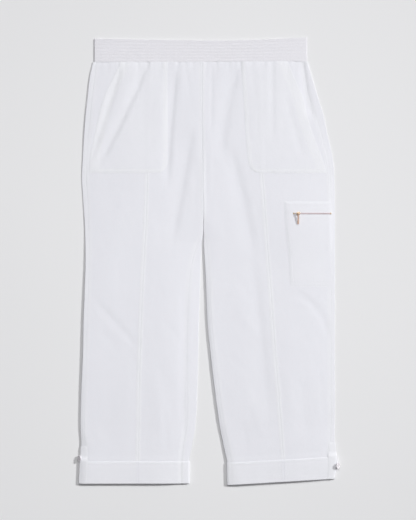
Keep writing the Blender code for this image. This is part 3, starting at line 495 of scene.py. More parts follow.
class Leg:
    """One leg of the pants, as points of a flattened tube of cloth."""

    SEAM_RIDGE = (0.1, 5.0)
    CREST = (75.0, 262.0, 0.34)

    def __init__(
        self,
        name: str,
        inward: int,
        sections: Sequence[Section],
        edges: tuple[Sequence[EdgeForm], Sequence[EdgeForm]],
        hem: tuple[float, float],
    ) -> None:
        """Keeps the leg's tables.

        Args:
            name: right or left.
            inward: +1 where the leg's inner edge is at the larger x.
            sections: cross-sections from the waist to the hem.
            edges: the forms of the outer and the inner edge.
            hem: how much the hem rises for each mm outwards, and its lift in the leg's middle.
        """
        self.name = name
        self.inward = inward
        self.table = np.array(sections)
        self.slopes = monotone_slopes(self.table)
        self.edges = [np.array(edge) for edge in edges]
        self.hem = hem

    def section(self, y: Array) -> Section:
        """The sections at any heights, on smooth curves through the table's rows."""
        heights = self.table[:, 0]
        y = np.clip(np.asarray(y, float), heights[-1], heights[0])
        row = np.clip(np.searchsorted(-heights, -y, side="right") - 1, 0, len(heights) - 2)
        step = (heights[row + 1] - heights[row])[..., None]
        t = (y - heights[row])[..., None] / step
        values = (
            (1 + 2 * t) * (1 - t) ** 2 * self.table[row]
            + t * (1 - t) ** 2 * step * self.slopes[row]
            + t * t * (3 - 2 * t) * self.table[row + 1]
            + t * t * (t - 1) * step * self.slopes[row + 1]
        )
        found = Section(*np.moveaxis(values, -1, 0))
        centre = np.interp(-y, -heights, self.table[:, Section._fields.index("inner")])
        above = y >= CROTCH
        return found._replace(
            y=y, inner=np.where(above, centre, found.inner), inseam=np.where(above, 0.0, found.inseam)
        )

    def floor(self, y: Array) -> Array:
        """Height of the back's outer face over the floor."""
        top, foot = FLOOR_RISE
        return CUFF_OUT * smooth((top - y) / (top - foot))

    def middle(self, y: Array) -> Array:
        """How thick the leg is away from its edges."""
        heights, depths = np.array(MIDDLE_DEPTHS).T
        return np.interp(-y, -heights, depths)

    def edge_form(self, y: Array, inner: bool) -> tuple[Array, Array]:
        """(radius, reach) of the outer or the inner edge of the flattened tube."""
        table = self.edges[int(inner)]
        drop, reach = (np.interp(-y, -table[:, 0], table[:, k]) for k in (1, 2))
        return (self.middle(y) - drop) / 2, reach

    def radius(self, y: Array) -> Array:
        """Radius of the outer edge."""
        return self.edge_form(y, False)[0]

    def inner_limits(self, y: Array) -> tuple[Section, Array, Array]:
        """The section, the inner edge's turn, and the x where it starts to turn down."""
        section = self.section(y)
        low, reach = FORK_TURN
        turn = np.radians(np.where(y > CROTCH, low + (90 - low) * smooth((CROTCH + reach - y) / reach), 90.0))
        edge = section.inner - self.inward * HALF_SEAM
        return section, turn, edge - self.inward * self.edge_form(y, True)[0] * np.sin(turn)

    def hem_lift(self, x: Array, y: Array) -> Array:
        """How far the hem's slope raises a point, fading out up the shin."""
        slope, lift = self.hem
        middle, start, reach = HEM_LIFT
        return (slope * (np.abs(x) - middle) + lift) * smooth((start - y) / reach)

    def waist_lift(self, x: Array, y: Array) -> Array:
        """How far the waistband's foot raises a point, fading out over the hip."""
        rise = np.interp(x, *np.array(BAND_FOOT).T) - BAND_FOOT[0][1]
        return rise * smooth((y - HIP_LINE) / (WAIST_SEAM - HIP_LINE))

    def relief(self, x: Array, y: Array) -> Array:
        """Folds, creases, gathers and rumples of the front, in mm."""
        made = sum(fold_height(fold, x, y) for fold in FOLDS + CREASES)
        fade = np.exp(-(WAIST_SEAM - y) / GATHER_REACH)
        made = made - fade * sum(g.depth * bell((x - g.x) / GATHER_WIDTH) for g in GATHERS)
        made = made + WAIST_PUCKER * np.exp(-(WAIST_SEAM - y) / PUCKER_REACH) * PUCKERS.at(x, y)
        x0, y0, across, down, height = ZIP_SWELL
        made = made + height * bell((x - x0) / across) * bell((y - y0) / down)
        broad, fine = RUMPLE_HEIGHTS
        return made + broad * BROAD_RUMPLE.at(x, y) + fine * FINE_RUMPLE.at(x, y)

    def top(self, x: Array, y: Array) -> Array:
        """Height of the front's outer face over the floor."""
        section, _, inner_start = self.inner_limits(y)
        (outer, outer_reach), (inner, inner_reach) = (self.edge_form(y, flag) for flag in (False, True))
        from_outer = self.inward * (x - section.edge) - outer
        from_inner = self.inward * (inner_start - x)
        depth = middle = self.middle(y)
        for away, radius, reach in ((from_outer, outer, outer_reach), (from_inner, inner, inner_reach)):
            depth = depth - (middle - 2 * radius) * np.square(np.clip(1 - away / reach, 0.0, 1.0))
        waist = -WAIST_TUCK[0] * np.exp(-(WAIST_SEAM - y) / WAIST_TUCK[1])
        inside = smooth(from_outer / FOLD_REACH) * smooth(from_inner / FOLD_REACH)
        folds = (self.relief(x, y) + waist) * inside
        ridge, half_width = self.SEAM_RIDGE
        from_seam = (x - section.front_seam) / half_width
        height, reach = CUFF_SWELL
        folds = folds + ridge * np.exp(-(from_seam**4)) + height * smooth((CUFF_TOP + reach - y) / reach)
        return self.floor(y) + np.clip(depth + folds, LOWEST_FRONT, HIGHEST_FRONT)

    def crest(self, x: Array, y: Array) -> Array:
        """The low crest of the felled centre seam, steeper towards +x."""
        low, high, lift = self.CREST
        aside = x - np.interp(-y, -self.table[:, 0], self.table[:, Section._fields.index("inner")]) - 2.2
        aside = aside / np.where(aside < 0, 9.0, 3.0)
        return lift * bell(aside) * smooth((y - low) / 30.0) * smooth((high - y) / 60.0)

    def point(self, y: Array, along: Array, out: Array, inner: bool | Array = True) -> Array:
        """Points of the cloth.

        Args:
            y: heights.
            along: distances over the cloth from the tube's edge, positive on the front.
            out: distances out of the cloth's outer face.
            inner: whether along is measured from the inner edge.

        Returns:
            Points in mm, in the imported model's frame, with x, y and z in the last place.
        """
        y, along, out, inner = np.broadcast_arrays(y, along, out, inner)
        section, turn, start = self.inner_limits(y)
        outer_radius = self.radius(y)
        radius = np.where(inner, self.edge_form(y, True)[0], outer_radius)
        way = np.where(inner, self.inward, -self.inward)
        turn = np.where(inner, turn, math.pi / 2)
        start = np.where(inner, start, section.edge + self.inward * outer_radius)
        angle = turn - np.abs(along) / radius
        curled = angle > 0
        across, up = (np.clip(function(angle), 0, 1) ** SQUARE for function in (np.sin, np.cos))
        end = np.clip(np.sin(turn), 0.001, 1)
        across = across * end ** (1 - SQUARE)
        x = np.where(
            curled, start + way * (radius + out) * across, start - way * (np.abs(along) - turn * radius)
        )
        rise = np.where(curled, (radius + out) * up, radius + out)
        over = np.where(curled, self.floor(y) + radius + rise, self.top(x, y) + out) + self.crest(x, y)
        z = np.where(along < 0, self.floor(y) + radius - rise, over)
        lift = self.hem_lift(x, y) + self.waist_lift(x, y)
        return np.stack([x - MIDDLE[0], y + lift - MIDDLE[1], z], axis=-1)

    def inner_along(self, x: Array, y: Array) -> Array:
        """How far points at x on the flat of the front lie from the inner edge, over the cloth."""
        _, turn, start = self.inner_limits(y)
        return turn * self.edge_form(y, True)[0] + self.inward * (start - x)

    def line(self, field: str, y: Array) -> Array:
        """How far one of the section's lines lies from the inner edge, over the cloth."""
        section = self.section(y)
        if field == "side":
            return self.inner_along(section.edge + self.inward * section.side_seam, y)
        if field == "end":
            return section.inseam + HALF_SEAM
        return self.inner_along(getattr(section, field), y)

    def columns(self, side: Side, y: Array) -> Array:
        """How far each column of a front panel lies from the inner edge, over the cloth."""
        near = (0.0, 0.3, 0.8, 1.5, 2.4, 3.5, 4.8, 6.4)
        seam = self.line("front_seam", y)
        if side is Side.OUTER:
            return steps_from(self.line("side", y) - HALF_SEAM, seam + HALF_SEAM, near, 48)
        return steps_from(seam - HALF_SEAM, self.line("end", y), near, 46)

    def back_columns(self, y: Array) -> tuple[Array, Array]:
        """(whether from the inner edge, how far) of each column of the back, from side seam to inseam."""
        section, turn, start = self.inner_limits(y)
        radius, inner_radius = (self.edge_form(y, flag)[0] for flag in (False, True))
        quarter, inner_quarter = ((math.pi / 2 * value)[:, None] for value in (radius, inner_radius))
        side = (section.side_seam - radius)[:, None] + quarter - HALF_SEAM
        width = (self.inward * (start - section.edge) - radius + turn * inner_radius)[:, None] - inner_quarter
        end = section.inseam[:, None] - HALF_SEAM
        length = inner_quarter + end
        part = np.linspace(0, 1, 13)[None, :]
        flat = np.linspace(0, 1, 17)[None, 1:]
        top = side + (quarter - side) * np.linspace(0, 1, 5)[None, :-1]
        curl = quarter - 2 * quarter * part
        outer = [top, curl, -quarter - width / 2 * flat]
        step = np.arange(13)[None, :]
        curl_in = np.minimum(step * 2 * inner_quarter / 12, step * length / 20)
        last = curl_in[:, -1:] + (length - curl_in[:, -1:]) * np.linspace(0, 1, 9)[None, 1:]
        inner = [
            -inner_quarter - width / 2 * (1 - flat[:, :-1]), curl_in - inner_quarter, last - inner_quarter
        ]
        outer_array, inner_array = np.hstack(outer), np.hstack(inner)
        flags = np.repeat([False, True], [outer_array.shape[1], inner_array.shape[1]])
        return flags, np.hstack([outer_array, inner_array])


RIGHT = Leg("right", 1, RIGHT_SECTIONS, (RIGHT_OUTER_EDGE, RIGHT_INNER_EDGE), (0.0, -1.8))
LEFT = Leg("left", -1, LEFT_SECTIONS, (LEFT_OUTER_EDGE, LEFT_INNER_EDGE), (0.058, 1.3))


@dataclass(frozen=True)
class Run:
    """Rows down a leg's cloth, round the hem and up the cuff.

    Attributes:
        heights: y of the leg's inner face and outer face, for each row.
        outs: how far each of the two faces stands out, for each row.
        length: how far each row lies down the cloth, in mm.
    """

    heights: tuple[Array, Array]
    outs: tuple[Array, Array]
    length: Array

    @staticmethod
    def make(step: float, fine: float) -> "Run":
        """Rows with a step down the leg, and a finer one by the waist and the hem."""
        waist = np.arange(TOP_ROW, HIP_LINE, -fine)
        leg = np.arange(waist[-1] - step, TAB_TOP, -step)
        shin = np.arange(leg[-1] - fine, HEM_ROW + fine / 2, -fine)
        ends = TOP_ROW - np.array(EDGE_ROWS[1:])
        straight = np.unique(np.concatenate([waist, leg, shin, ends, [HEM_ROW]]))[::-1]
        middle = CUFF_GAP / 2
        turned = np.pi * np.arange(1, 9) / 8
        cuff = np.concatenate(
            [np.arange(HEM_ROW + fine, CUFF_TOP - 1.6, fine), CUFF_TOP - np.array(EDGE_ROWS[::-1])]
        )
        high = [HEM_ROW - reach * np.sin(turned) for reach in (CUFF_OUT - middle, middle)]
        outs = [middle - reach * np.cos(turned) for reach in (CUFF_OUT - middle, middle)]
        ys = [np.concatenate([straight, h, cuff]) for h in high]
        down = CUFF_TOP - cuff
        lip, groove, below = CUFF_LIP
        level = [np.zeros(len(straight)), -lip * np.exp(-down / 2.2) - groove * bell((down - below) / 2.0)]
        inner = np.concatenate([level[0] - WALL, outs[0], level[1] + CUFF_OUT])
        outer = np.concatenate([level[0], outs[1], level[1] + CUFF_GAP])
        middle_line = np.stack([(ys[0] + ys[1]) / 2, (inner + outer) / 2], axis=1)
        steps = np.hypot(*np.diff(middle_line, axis=0).T)
        return Run((ys[0], ys[1]), (inner, outer), np.concatenate([[0.0], np.cumsum(steps)]))


# ---------------------------------------------------------------- mesh makers


def only(obj: Object) -> None:
    """Makes an object the only selected one, and the active one."""
    for other in bpy.context.selected_objects:
        other.select_set(False)
    obj.select_set(True)
    bpy.context.view_layer.objects.active = obj


def clear_selection() -> None:
    """Deselects everything, so that an operator acts on the new piece alone."""
    for other in bpy.context.selected_objects:
        other.select_set(False)


@contextmanager
def editing() -> Iterator[None]:
    """Edit mode for the active object."""
    bpy.ops.object.mode_set(mode="EDIT")
    yield
    bpy.ops.object.mode_set(mode="OBJECT")


def closed_right_way(obj: Object) -> None:
    """Turns the faces out if the mesh's signed volume says that they point in."""
    mesh = obj.data
    mesh.calc_loop_triangles()
    corners = np.zeros(len(mesh.loop_triangles) * 3, np.int32)
    mesh.loop_triangles.foreach_get("vertices", corners)
    points = np.zeros(len(mesh.vertices) * 3, np.float32)
    mesh.vertices.foreach_get("co", points)
    a, b, c = points.reshape(-1, 3)[corners.reshape(-1, 3)].transpose(1, 0, 2).astype(float)
    if (a * np.cross(b, c)).sum() < 0:
        mesh.flip_normals()


def cloth_wall(
    name: str,
    faces: tuple[Array, Array],
    chart: Array,
    backing_and_shade: Array,
    material: bpy.types.Material,
    slot: Callable[[Array, Array], Array] | None = None,
) -> Object:
    """A wall of cloth between two faces of the same lattice.

    Args:
        name: the piece's name.
        faces: the two faces, each rows by columns by 3, in mm.
        chart: where each lattice point lies on the flat cloth, rows by columns by 2, in mm.
        backing_and_shade: how many plies of cloth lie below each point, from 0 to 1; on the waistband it also
            holds painted shade in the grooves between the ribs and a painted highlight on the ribs and the
            top rim, partly for the elastic under each rib.
        material: its finish.
        slot: says from the middles of the faces, as column and row, which are left out.

    Returns:
        The piece.
    """
    rows, columns = backing_and_shade.shape
    clear_selection()
    bpy.ops.mesh.primitive_grid_add(
        x_subdivisions=columns - 1, y_subdivisions=rows - 1, size=1.0, calc_uvs=True
    )
    obj = bpy.context.object
    obj.name = obj.data.name = name
    mesh = obj.data
    count = len(mesh.vertices)
    at = np.zeros(count * 3, np.float32)
    mesh.vertices.foreach_get("co", at)
    at = at.reshape(-1, 3)
    column = np.rint((at[:, 0] + 0.5) * (columns - 1)).astype(int)
    row = np.rint((at[:, 1] + 0.5) * (rows - 1)).astype(int)
    sheet_map = mesh.uv_layers[0]
    sheet_map.name = "cloth"
    corner = np.zeros(len(mesh.loops), np.int32)
    mesh.loops.foreach_get("vertex_index", corner)
    places = (chart[row, column] * MM).astype(np.float32)
    sheet_map.data.foreach_set("uv", places[corner].ravel())
    if slot is not None:
        with editing():
            bpy.ops.mesh.select_mode(type="FACE")
            bpy.ops.mesh.select_all(action="DESELECT")
        middles = np.zeros(len(mesh.polygons) * 3, np.float32)
        mesh.polygons.foreach_get("center", middles)
        middles = middles.reshape(-1, 3)
        chosen = slot((middles[:, 0] + 0.5) * (columns - 1), (middles[:, 1] + 0.5) * (rows - 1))
        mesh.polygons.foreach_set("select", chosen)
        with editing():
            bpy.ops.mesh.delete(type="ONLY_FACE")
    solidify = obj.modifiers.new("wall", "SOLIDIFY")
    solidify.thickness = 0.001
    solidify.offset = -1.0
    bpy.ops.object.modifier_apply(modifier="wall")
    mesh = obj.data
    both = np.concatenate([face[row, column] for face in faces]) * MM
    if len(mesh.vertices) != len(both):
        raise ValueError(f"{name}: the wall has {len(mesh.vertices)} points, not {len(both)}")
    mesh.vertices.foreach_set("co", both.astype(np.float32).ravel())
    mask = mesh.attributes.new("backing_and_shade", "FLOAT", "POINT")
    mask.data.foreach_set("value", np.tile(backing_and_shade[row, column], 2).astype(np.float32))
    mesh.update()
    if slot is not None:
        with editing():
            bpy.ops.mesh.select_all(action="SELECT")
            bpy.ops.mesh.delete_loose(use_verts=True, use_edges=True, use_faces=False)
    closed_right_way(obj)
    bpy.ops.object.shade_smooth_by_angle(angle=CLOTH_SMOOTH)
    obj.data.materials.append(material)
    return obj


def solid(name: str, material: bpy.types.Material, angle: float = 40.0) -> Object:
    """Finishes the active object: its place goes into its mesh, its faces out and its shading smooth.

    Args:
        name: the piece's name.
        material: its finish.
        angle: edges sharper than this many degrees stay sharp.

    Returns:
        The piece.
    """
    obj = bpy.context.object
    only(obj)
    bpy.ops.object.convert(target="MESH")
    obj = bpy.context.object
    bpy.ops.object.transform_apply(location=True, rotation=True, scale=True)
    with editing():
        bpy.ops.mesh.select_all(action="SELECT")
        bpy.ops.mesh.remove_doubles(threshold=0.000001)
        bpy.ops.mesh.normals_make_consistent(inside=False)
    closed_right_way(obj)
    bpy.ops.object.shade_smooth_by_angle(angle=math.radians(angle))
    obj.name = obj.data.name = name
    obj.data.materials.clear()
    obj.data.materials.append(material)
    return obj


def apply_modifier(obj: Object, kind: str, **settings: object) -> None:
    """Adds a modifier to an object with these settings, and applies it."""
    modifier = obj.modifiers.new(kind.lower(), kind)
    for key, value in settings.items():
        setattr(modifier, key, value)
    only(obj)
    bpy.ops.object.modifier_apply(modifier=modifier.name)


def move_points(obj: Object, matrix: Matrix) -> None:
    """Moves a mesh's points by a matrix."""
    obj.data.transform(matrix)
    obj.data.update()


def joined_copies(name: str, model: Object, places: Array, material: bpy.types.Material) -> Object:
    """One mesh of many copies of a model.

    Args:
        name: the piece's name.
        model: the thing to copy, which is removed.
        places: a 4 by 4 matrix for each copy, in metres.
        material: its finish.

    Returns:
        The piece.
    """
    mesh = model.data
    points = np.zeros(len(mesh.vertices) * 3, np.float32)
    mesh.vertices.foreach_get("co", points)
    points = np.hstack([points.reshape(-1, 3), np.ones((len(mesh.vertices), 1))])
    faces = [tuple(face.vertices) for face in mesh.polygons]
    made = np.einsum("kij,nj->kni", places, points)[..., :3].reshape(-1, 3)
    count = len(mesh.vertices)
    every = [tuple(corner + copy * count for corner in face) for copy in range(len(places)) for face in faces]
    joined = bpy.data.meshes.new(name)
    joined.from_pydata(made.tolist(), [], every)
    joined.shade_smooth()
    obj = bpy.data.objects.new(name, joined)
    bpy.context.scene.collection.objects.link(obj)
    joined.materials.append(material)
    bpy.data.objects.remove(model)
    return obj


@dataclass
class Thread:
    """Rows of stitches, gathered for one piece of sewing.

    Attributes:
        name: the piece's name.
        material: the thread's finish.
    """

    name: str
    material: bpy.types.Material

    def __post_init__(self) -> None:
        """Starts with no stitches."""
        self.places: list[Array] = []

    def row(
        self, points: Array, outward: Array, pitch: float = STITCH_PITCH, length: float = STITCH_LENGTH
    ) -> None:
        """Adds a row of stitches along a line.

        Args:
            points: the line, in mm.
            outward: the cloth's outward direction at each of its points.
            pitch: from one stitch to the next.
            length: how long each stitch shows.
        """
        steps = np.linalg.norm(np.diff(points, axis=0), axis=1)
        travelled = np.concatenate([[0.0], np.cumsum(steps)])
        count = int(travelled[-1] // pitch)
        if count < 1:
            return
        middles = (np.arange(count) + 0.5) * (travelled[-1] / count)

        def along(at: Array, table: Array) -> Array:
            return np.stack([np.interp(at, travelled, table[:, k]) for k in range(3)], axis=1)

        start, end = along(middles - length / 2, points), along(middles + length / 2, points)
        ahead = end - start
        ahead /= np.linalg.norm(ahead, axis=1, keepdims=True)
        up = along(middles, outward)
        aside = np.cross(up, ahead)
        aside /= np.linalg.norm(aside, axis=1, keepdims=True)
        up = np.cross(ahead, aside)
        place = np.zeros((count, 4, 4))
        place[:, :3, 0], place[:, :3, 1], place[:, :3, 2] = ahead * length / 2, aside, up
        place[:, :3, 3] = (start + end) / 2
        place[:, 3, 3] = 1
        place[:, :3] *= MM
        self.places.append(place)

    def build(self) -> Object:
        """The piece: every stitch a small rounded lozenge of thread."""
        clear_selection()
        bpy.ops.mesh.primitive_uv_sphere_add(segments=6, ring_count=4, radius=1.0)
        stitch = bpy.context.object
        squeeze = Matrix.Rotation(math.pi / 2, 4, "Y")
        move_points(stitch, squeeze)
        for vertex in stitch.data.vertices:
            round_off = math.sqrt(max(0.0, 1 - vertex.co.x**2))
            thinner = min(1.0, 0.35 + 1.1 * round_off) / max(round_off, 0.001)
            scale = THREAD_WIDTH / 2 * thinner if round_off > 0.01 else 0.0
            vertex.co.y *= scale
            vertex.co.z *= scale * 0.7
        return joined_copies(self.name, stitch, np.concatenate(self.places), self.material)


# ---------------------------------------------------------------- finishes


def new_group(
    name: str, inputs: dict[str, tuple[str, object]], outputs: dict[str, str]
) -> bpy.types.NodeTree:
    """A shader node group with named inputs and outputs.

    Args:
        name: the group's name.
        inputs: socket kind and first value of each input.
        outputs: socket kind of each output.

    Returns:
        The group, with its Group Input and Group Output nodes.
    """
    group = bpy.data.node_groups.new(name, "ShaderNodeTree")
    for label, (kind, value) in inputs.items():
        socket = group.interface.new_socket(label, in_out="INPUT", socket_type=kind)
        if value is not None:
            socket.default_value = value
    for label, kind in outputs.items():
        group.interface.new_socket(label, in_out="OUTPUT", socket_type=kind)
    group.nodes.new("NodeGroupInput")
    group.nodes.new("NodeGroupOutput")
    return group


class Wiring:
    """Short calls for adding and joining nodes in a tree."""

    def __init__(self, tree: bpy.types.NodeTree) -> None:
        """Keeps the tree."""
        self.tree = tree

    def feed(self, socket: Socket, value: object) -> None:
        """Joins an output to an input, or sets the input's value."""
        if isinstance(value, Socket):
            self.tree.links.new(value, socket)
        else:
            socket.default_value = value

    def maths(self, operation: str, *values: object) -> Socket:
        """A Math node's result."""
        node = self.tree.nodes.new("ShaderNodeMath")
        node.operation = operation
        for socket, value in zip(node.inputs, values):
            self.feed(socket, value)
        return node.outputs[0]

    def noise(self, vector: object, scale: float, detail: float = 2.0) -> Socket:
        """A Noise Texture's value."""
        node = self.tree.nodes.new("ShaderNodeTexNoise")
        self.feed(node.inputs["Vector"], vector)
        node.inputs["Scale"].default_value = scale
        node.inputs["Detail"].default_value = detail
        return node.outputs["Fac"]

    def mapped(self, vector: object, scale: Sequence[float]) -> Socket:
        """A vector stretched by a Mapping node."""
        node = self.tree.nodes.new("ShaderNodeMapping")
        self.feed(node.inputs["Vector"], vector)
        node.inputs["Scale"].default_value = scale
        return node.outputs["Vector"]

    def ramp(self, value: object, low: float, high: float, to_low: float, to_high: float) -> Socket:
        """A Map Range node's result."""
        node = self.tree.nodes.new("ShaderNodeMapRange")
        labels = ("Value", "From Min", "From Max", "To Min", "To Max")
        for label, given in zip(labels, (value, low, high, to_low, to_high)):
            self.feed(node.inputs[label], given)
        return node.outputs["Result"]

    def mix(self, part: object, first: object, second: object) -> Socket:
        """A mix of two colours."""
        node = self.tree.nodes.new("ShaderNodeMix")
        node.data_type = "RGBA"
        self.feed(node.inputs[0], part)
        self.feed(node.inputs[6], first)
        self.feed(node.inputs[7], second)
        return node.outputs[2]

    def group(self, group: bpy.types.NodeTree, **values: object) -> bpy.types.Node:
        """A group node with its inputs fed by name, with _ for a space."""
        node = self.tree.nodes.new("ShaderNodeGroup")
        node.node_tree = group
        for label, value in values.items():
            self.feed(node.inputs[label.replace("_", " ")], value)
        return node

    def bump(self, height: object, strength: float, distance: float) -> Socket:
        """A Bump node's normal."""
        node = self.tree.nodes.new("ShaderNodeBump")
        node.inputs["Strength"].default_value = strength
        node.inputs["Distance"].default_value = distance
        self.feed(node.inputs["Height"], height)
        return node.outputs["Normal"]


def weave_group() -> bpy.types.NodeTree:
    """Plain weave: warp and weft that pass over and under each other, some of them thicker."""
    found = bpy.data.node_groups.get("plain_weave")
    if found:
        return found
    group = new_group(
        "plain_weave",
        {
            "Chart": ("NodeSocketVector", None), "Threads": ("NodeSocketFloat", 2200.0),
            "Slub": ("NodeSocketFloat", 0.3),
        },
        {"Height": "NodeSocketFloat", "Tone": "NodeSocketFloat"},
    )
    wires = Wiring(group)
    given, result = group.nodes["Group Input"], group.nodes["Group Output"]
    split = group.nodes.new("ShaderNodeSeparateXYZ")
    wires.feed(split.inputs[0], given.outputs["Chart"])
    waves = [
        wires.maths("SINE", wires.maths(
            "MULTIPLY", wires.maths("MULTIPLY", split.outputs[k], given.outputs["Threads"]), math.pi
        ))
        for k in (0, 1)
    ]
    crossing = wires.maths("MULTIPLY", *waves)
    weft = wires.noise(wires.mapped(given.outputs["Chart"], WEFT_STRETCH), 1.0)
    warp = wires.noise(wires.mapped(given.outputs["Chart"], WARP_STRETCH), 1.0)
    slubs = wires.maths("SUBTRACT", wires.maths("ADD", weft, warp), 1.0)
    height = wires.maths("ADD", crossing, wires.maths("MULTIPLY", slubs, given.outputs["Slub"]))
    wires.feed(result.inputs["Height"], height)
    wires.feed(result.inputs["Tone"], wires.ramp(height, -WEAVE_HEIGHT, WEAVE_HEIGHT, 0.0, 1.0))
    return group


def unevenness_group() -> bpy.types.NodeTree:
    """Broad and fine unevenness of a surface, as a value about a half."""
    found = bpy.data.node_groups.get("unevenness")
    if found:
        return found
    group = new_group(
        "unevenness", {
            "Place": ("NodeSocketVector", None), "Fine": ("NodeSocketFloat", 0.4)
        }, {"Value": "NodeSocketFloat"}
    )
    wires = Wiring(group)
    given, result = group.nodes["Group Input"], group.nodes["Group Output"]
    broad = wires.noise(given.outputs["Place"], *BROAD_NOISE)
    fine = wires.noise(given.outputs["Place"], *FINE_NOISE)
    mixed = wires.tree.nodes.new("ShaderNodeMix")
    wires.feed(mixed.inputs[0], given.outputs["Fine"])
    wires.feed(mixed.inputs[2], broad)
    wires.feed(mixed.inputs[3], fine)
    wires.feed(result.inputs["Value"], mixed.outputs[0])
    return group


def new_material(name: str) -> tuple[bpy.types.Material, Wiring, bpy.types.Node]:
    """A material, its wiring and its Principled BSDF."""
    material = bpy.data.materials.new(name)
    material.use_nodes = True
    tree = material.node_tree
    return material, Wiring(tree), tree.nodes["Principled BSDF"]


@dataclass(frozen=True)
class ClothFinish:
    """A woven finish.

    Attributes:
        name: the material's name.
        thin: colour over a single layer, linear.
        backed: colour over many plies.
        threads: threads to a metre.
        relief: how deep the weave is, in metres.
        roughness: lowest and highest.
        sheen: sheen weight.
    """

    name: str
    thin: tuple[float, float, float]
    backed: tuple[float, float, float]
    threads: float
    relief: float
    roughness: tuple[float, float] = (0.82, 0.95)
    sheen: float = 0.0

    def material(self) -> bpy.types.Material:
        """The material, made once."""
        found = bpy.data.materials.get(self.name)
        if found:
            return found
        material, wires, shader = new_material(self.name)
        nodes = material.node_tree.nodes
        chart = nodes.new("ShaderNodeUVMap")
        chart.uv_map = "cloth"
        place = nodes.new("ShaderNodeTexCoord").outputs["Object"]
        backing_and_shade = nodes.new("ShaderNodeAttribute")
        backing_and_shade.attribute_name = "backing_and_shade"
        weave = wires.group(weave_group(), Chart=chart.outputs["UV"], Threads=self.threads, Slub=0.35)
        uneven = wires.group(unevenness_group(), Place=place, Fine=0.35)
        shift = wires.ramp(uneven.outputs["Value"], *UNEVEN_RANGE, -0.25, 0.25)
        part = wires.maths("ADD", backing_and_shade.outputs["Fac"], shift)
        body = wires.mix(part, (*self.thin, 1.0), (*self.backed, 1.0))
        # Painted shade: the weave's hollows are darkened towards this colour, a tenth darker than the
        # single-ply colour.
        weave_shade = tuple(0.9 * value for value in self.thin)
        wires.feed(
            shader.inputs["Base Color"],
            wires.mix(wires.ramp(weave.outputs["Tone"], 0.0, 0.6, 0.35, 0.0), body, (*weave_shade, 1.0)),
        )
        wires.feed(shader.inputs["Roughness"], wires.ramp(weave.outputs["Tone"], 0.0, 1.0, *self.roughness))
        wires.feed(shader.inputs["Normal"], wires.bump(weave.outputs["Height"], 0.35, self.relief))
        shader.inputs["Sheen Weight"].default_value = self.sheen
        shader.inputs["Specular IOR Level"].default_value = 0.25
        return material


@dataclass(frozen=True)
class HardFinish:
    """A metal or a shell.

    Attributes:
        name: the material's name.
        colour: linear base colour.
        worn: colour of its scuffed parts.
        metallic: 1 on metal.
        roughness: lowest and highest.
        coat: coat weight.
    """

    name: str
    colour: tuple[float, float, float]
    worn: tuple[float, float, float]
    metallic: float
    roughness: tuple[float, float]
    coat: float = 0.0

    def material(self) -> bpy.types.Material:
        """The material, made once."""
        found = bpy.data.materials.get(self.name)
        if found:
            return found
        material, wires, shader = new_material(self.name)
        place = material.node_tree.nodes.new("ShaderNodeTexCoord").outputs["Object"]
        uneven = wires.group(unevenness_group(), Place=wires.mapped(place, (6.0, 6.0, 6.0)), Fine=0.6)
        value = uneven.outputs["Value"]
        wires.feed(
            shader.inputs["Base Color"],
            wires.mix(wires.ramp(value, 0.45, 0.7, 0.0, 0.8), (*self.colour, 1.0), (*self.worn, 1.0)),
        )
        wires.feed(shader.inputs["Roughness"], wires.ramp(value, *UNEVEN_RANGE, *self.roughness))
        wires.feed(shader.inputs["Normal"], wires.bump(value, 0.2, 0.00005))
        shader.inputs["Metallic"].default_value = self.metallic
        shader.inputs["Coat Weight"].default_value = self.coat
        return material


COTTON = ClothFinish("washed_cotton", (0.789, 0.791, 0.838), (0.820, 0.824, 0.858), 2200.0, 0.00012)
# On the waistband its thin and backed colours also act as painted shade in the grooves and a painted
# highlight on the ribs.
ELASTIC = ClothFinish("cotton_over_elastic", (0.776, 0.766, 0.810), (0.790, 0.780, 0.819), 1800.0, 0.00016)
TAPE_CLOTH = ClothFinish("woven_tape", (0.70, 0.68, 0.70), (0.72, 0.70, 0.72), 1500.0, 0.00014)
THREAD = HardFinish("sewing_thread", (0.77, 0.775, 0.80), (0.74, 0.745, 0.775), 0.0, (0.6, 0.8))
ROSE_GOLD = HardFinish("brushed_rose_gold", (0.78, 0.53, 0.41), (0.85, 0.64, 0.52), 1.0, (0.28, 0.45))
PALE_GOLD = HardFinish("brushed_pale_gold", (0.70, 0.54, 0.34), (0.80, 0.66, 0.48), 1.0, (0.28, 0.45))
TEETH_METAL = HardFinish("rosy_teeth", (0.80, 0.68, 0.70), (0.84, 0.74, 0.76), 0.3, (0.4, 0.6))
SHELL = HardFinish("pale_shell", (0.73, 0.70, 0.73), (0.79, 0.76, 0.79), 0.0, (0.18, 0.34), coat=0.4)


# ---------------------------------------------------------------- cloth pieces


def declare(
    obj: Object, chart: Array, backing_and_shade: Array, slot: str, *nodes: str, area_share: float = 1.0
) -> None:
    """Attaches a cloth piece to the garment's body and hides the model's nodes that it stands for."""
    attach(obj, "garment")
    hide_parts(*nodes)


def cotton_piece(name: str, faces: Sequence[Array], chart: Array, backing_and_shade: Array) -> Object:
    """A cotton wall between an inner and an outer face, declared."""
    obj = cloth_wall(name + "_cloth", (faces[0], faces[1]), chart, backing_and_shade, COTTON.material())
    declare(obj, chart, backing_and_shade, "cotton", name)
    return obj


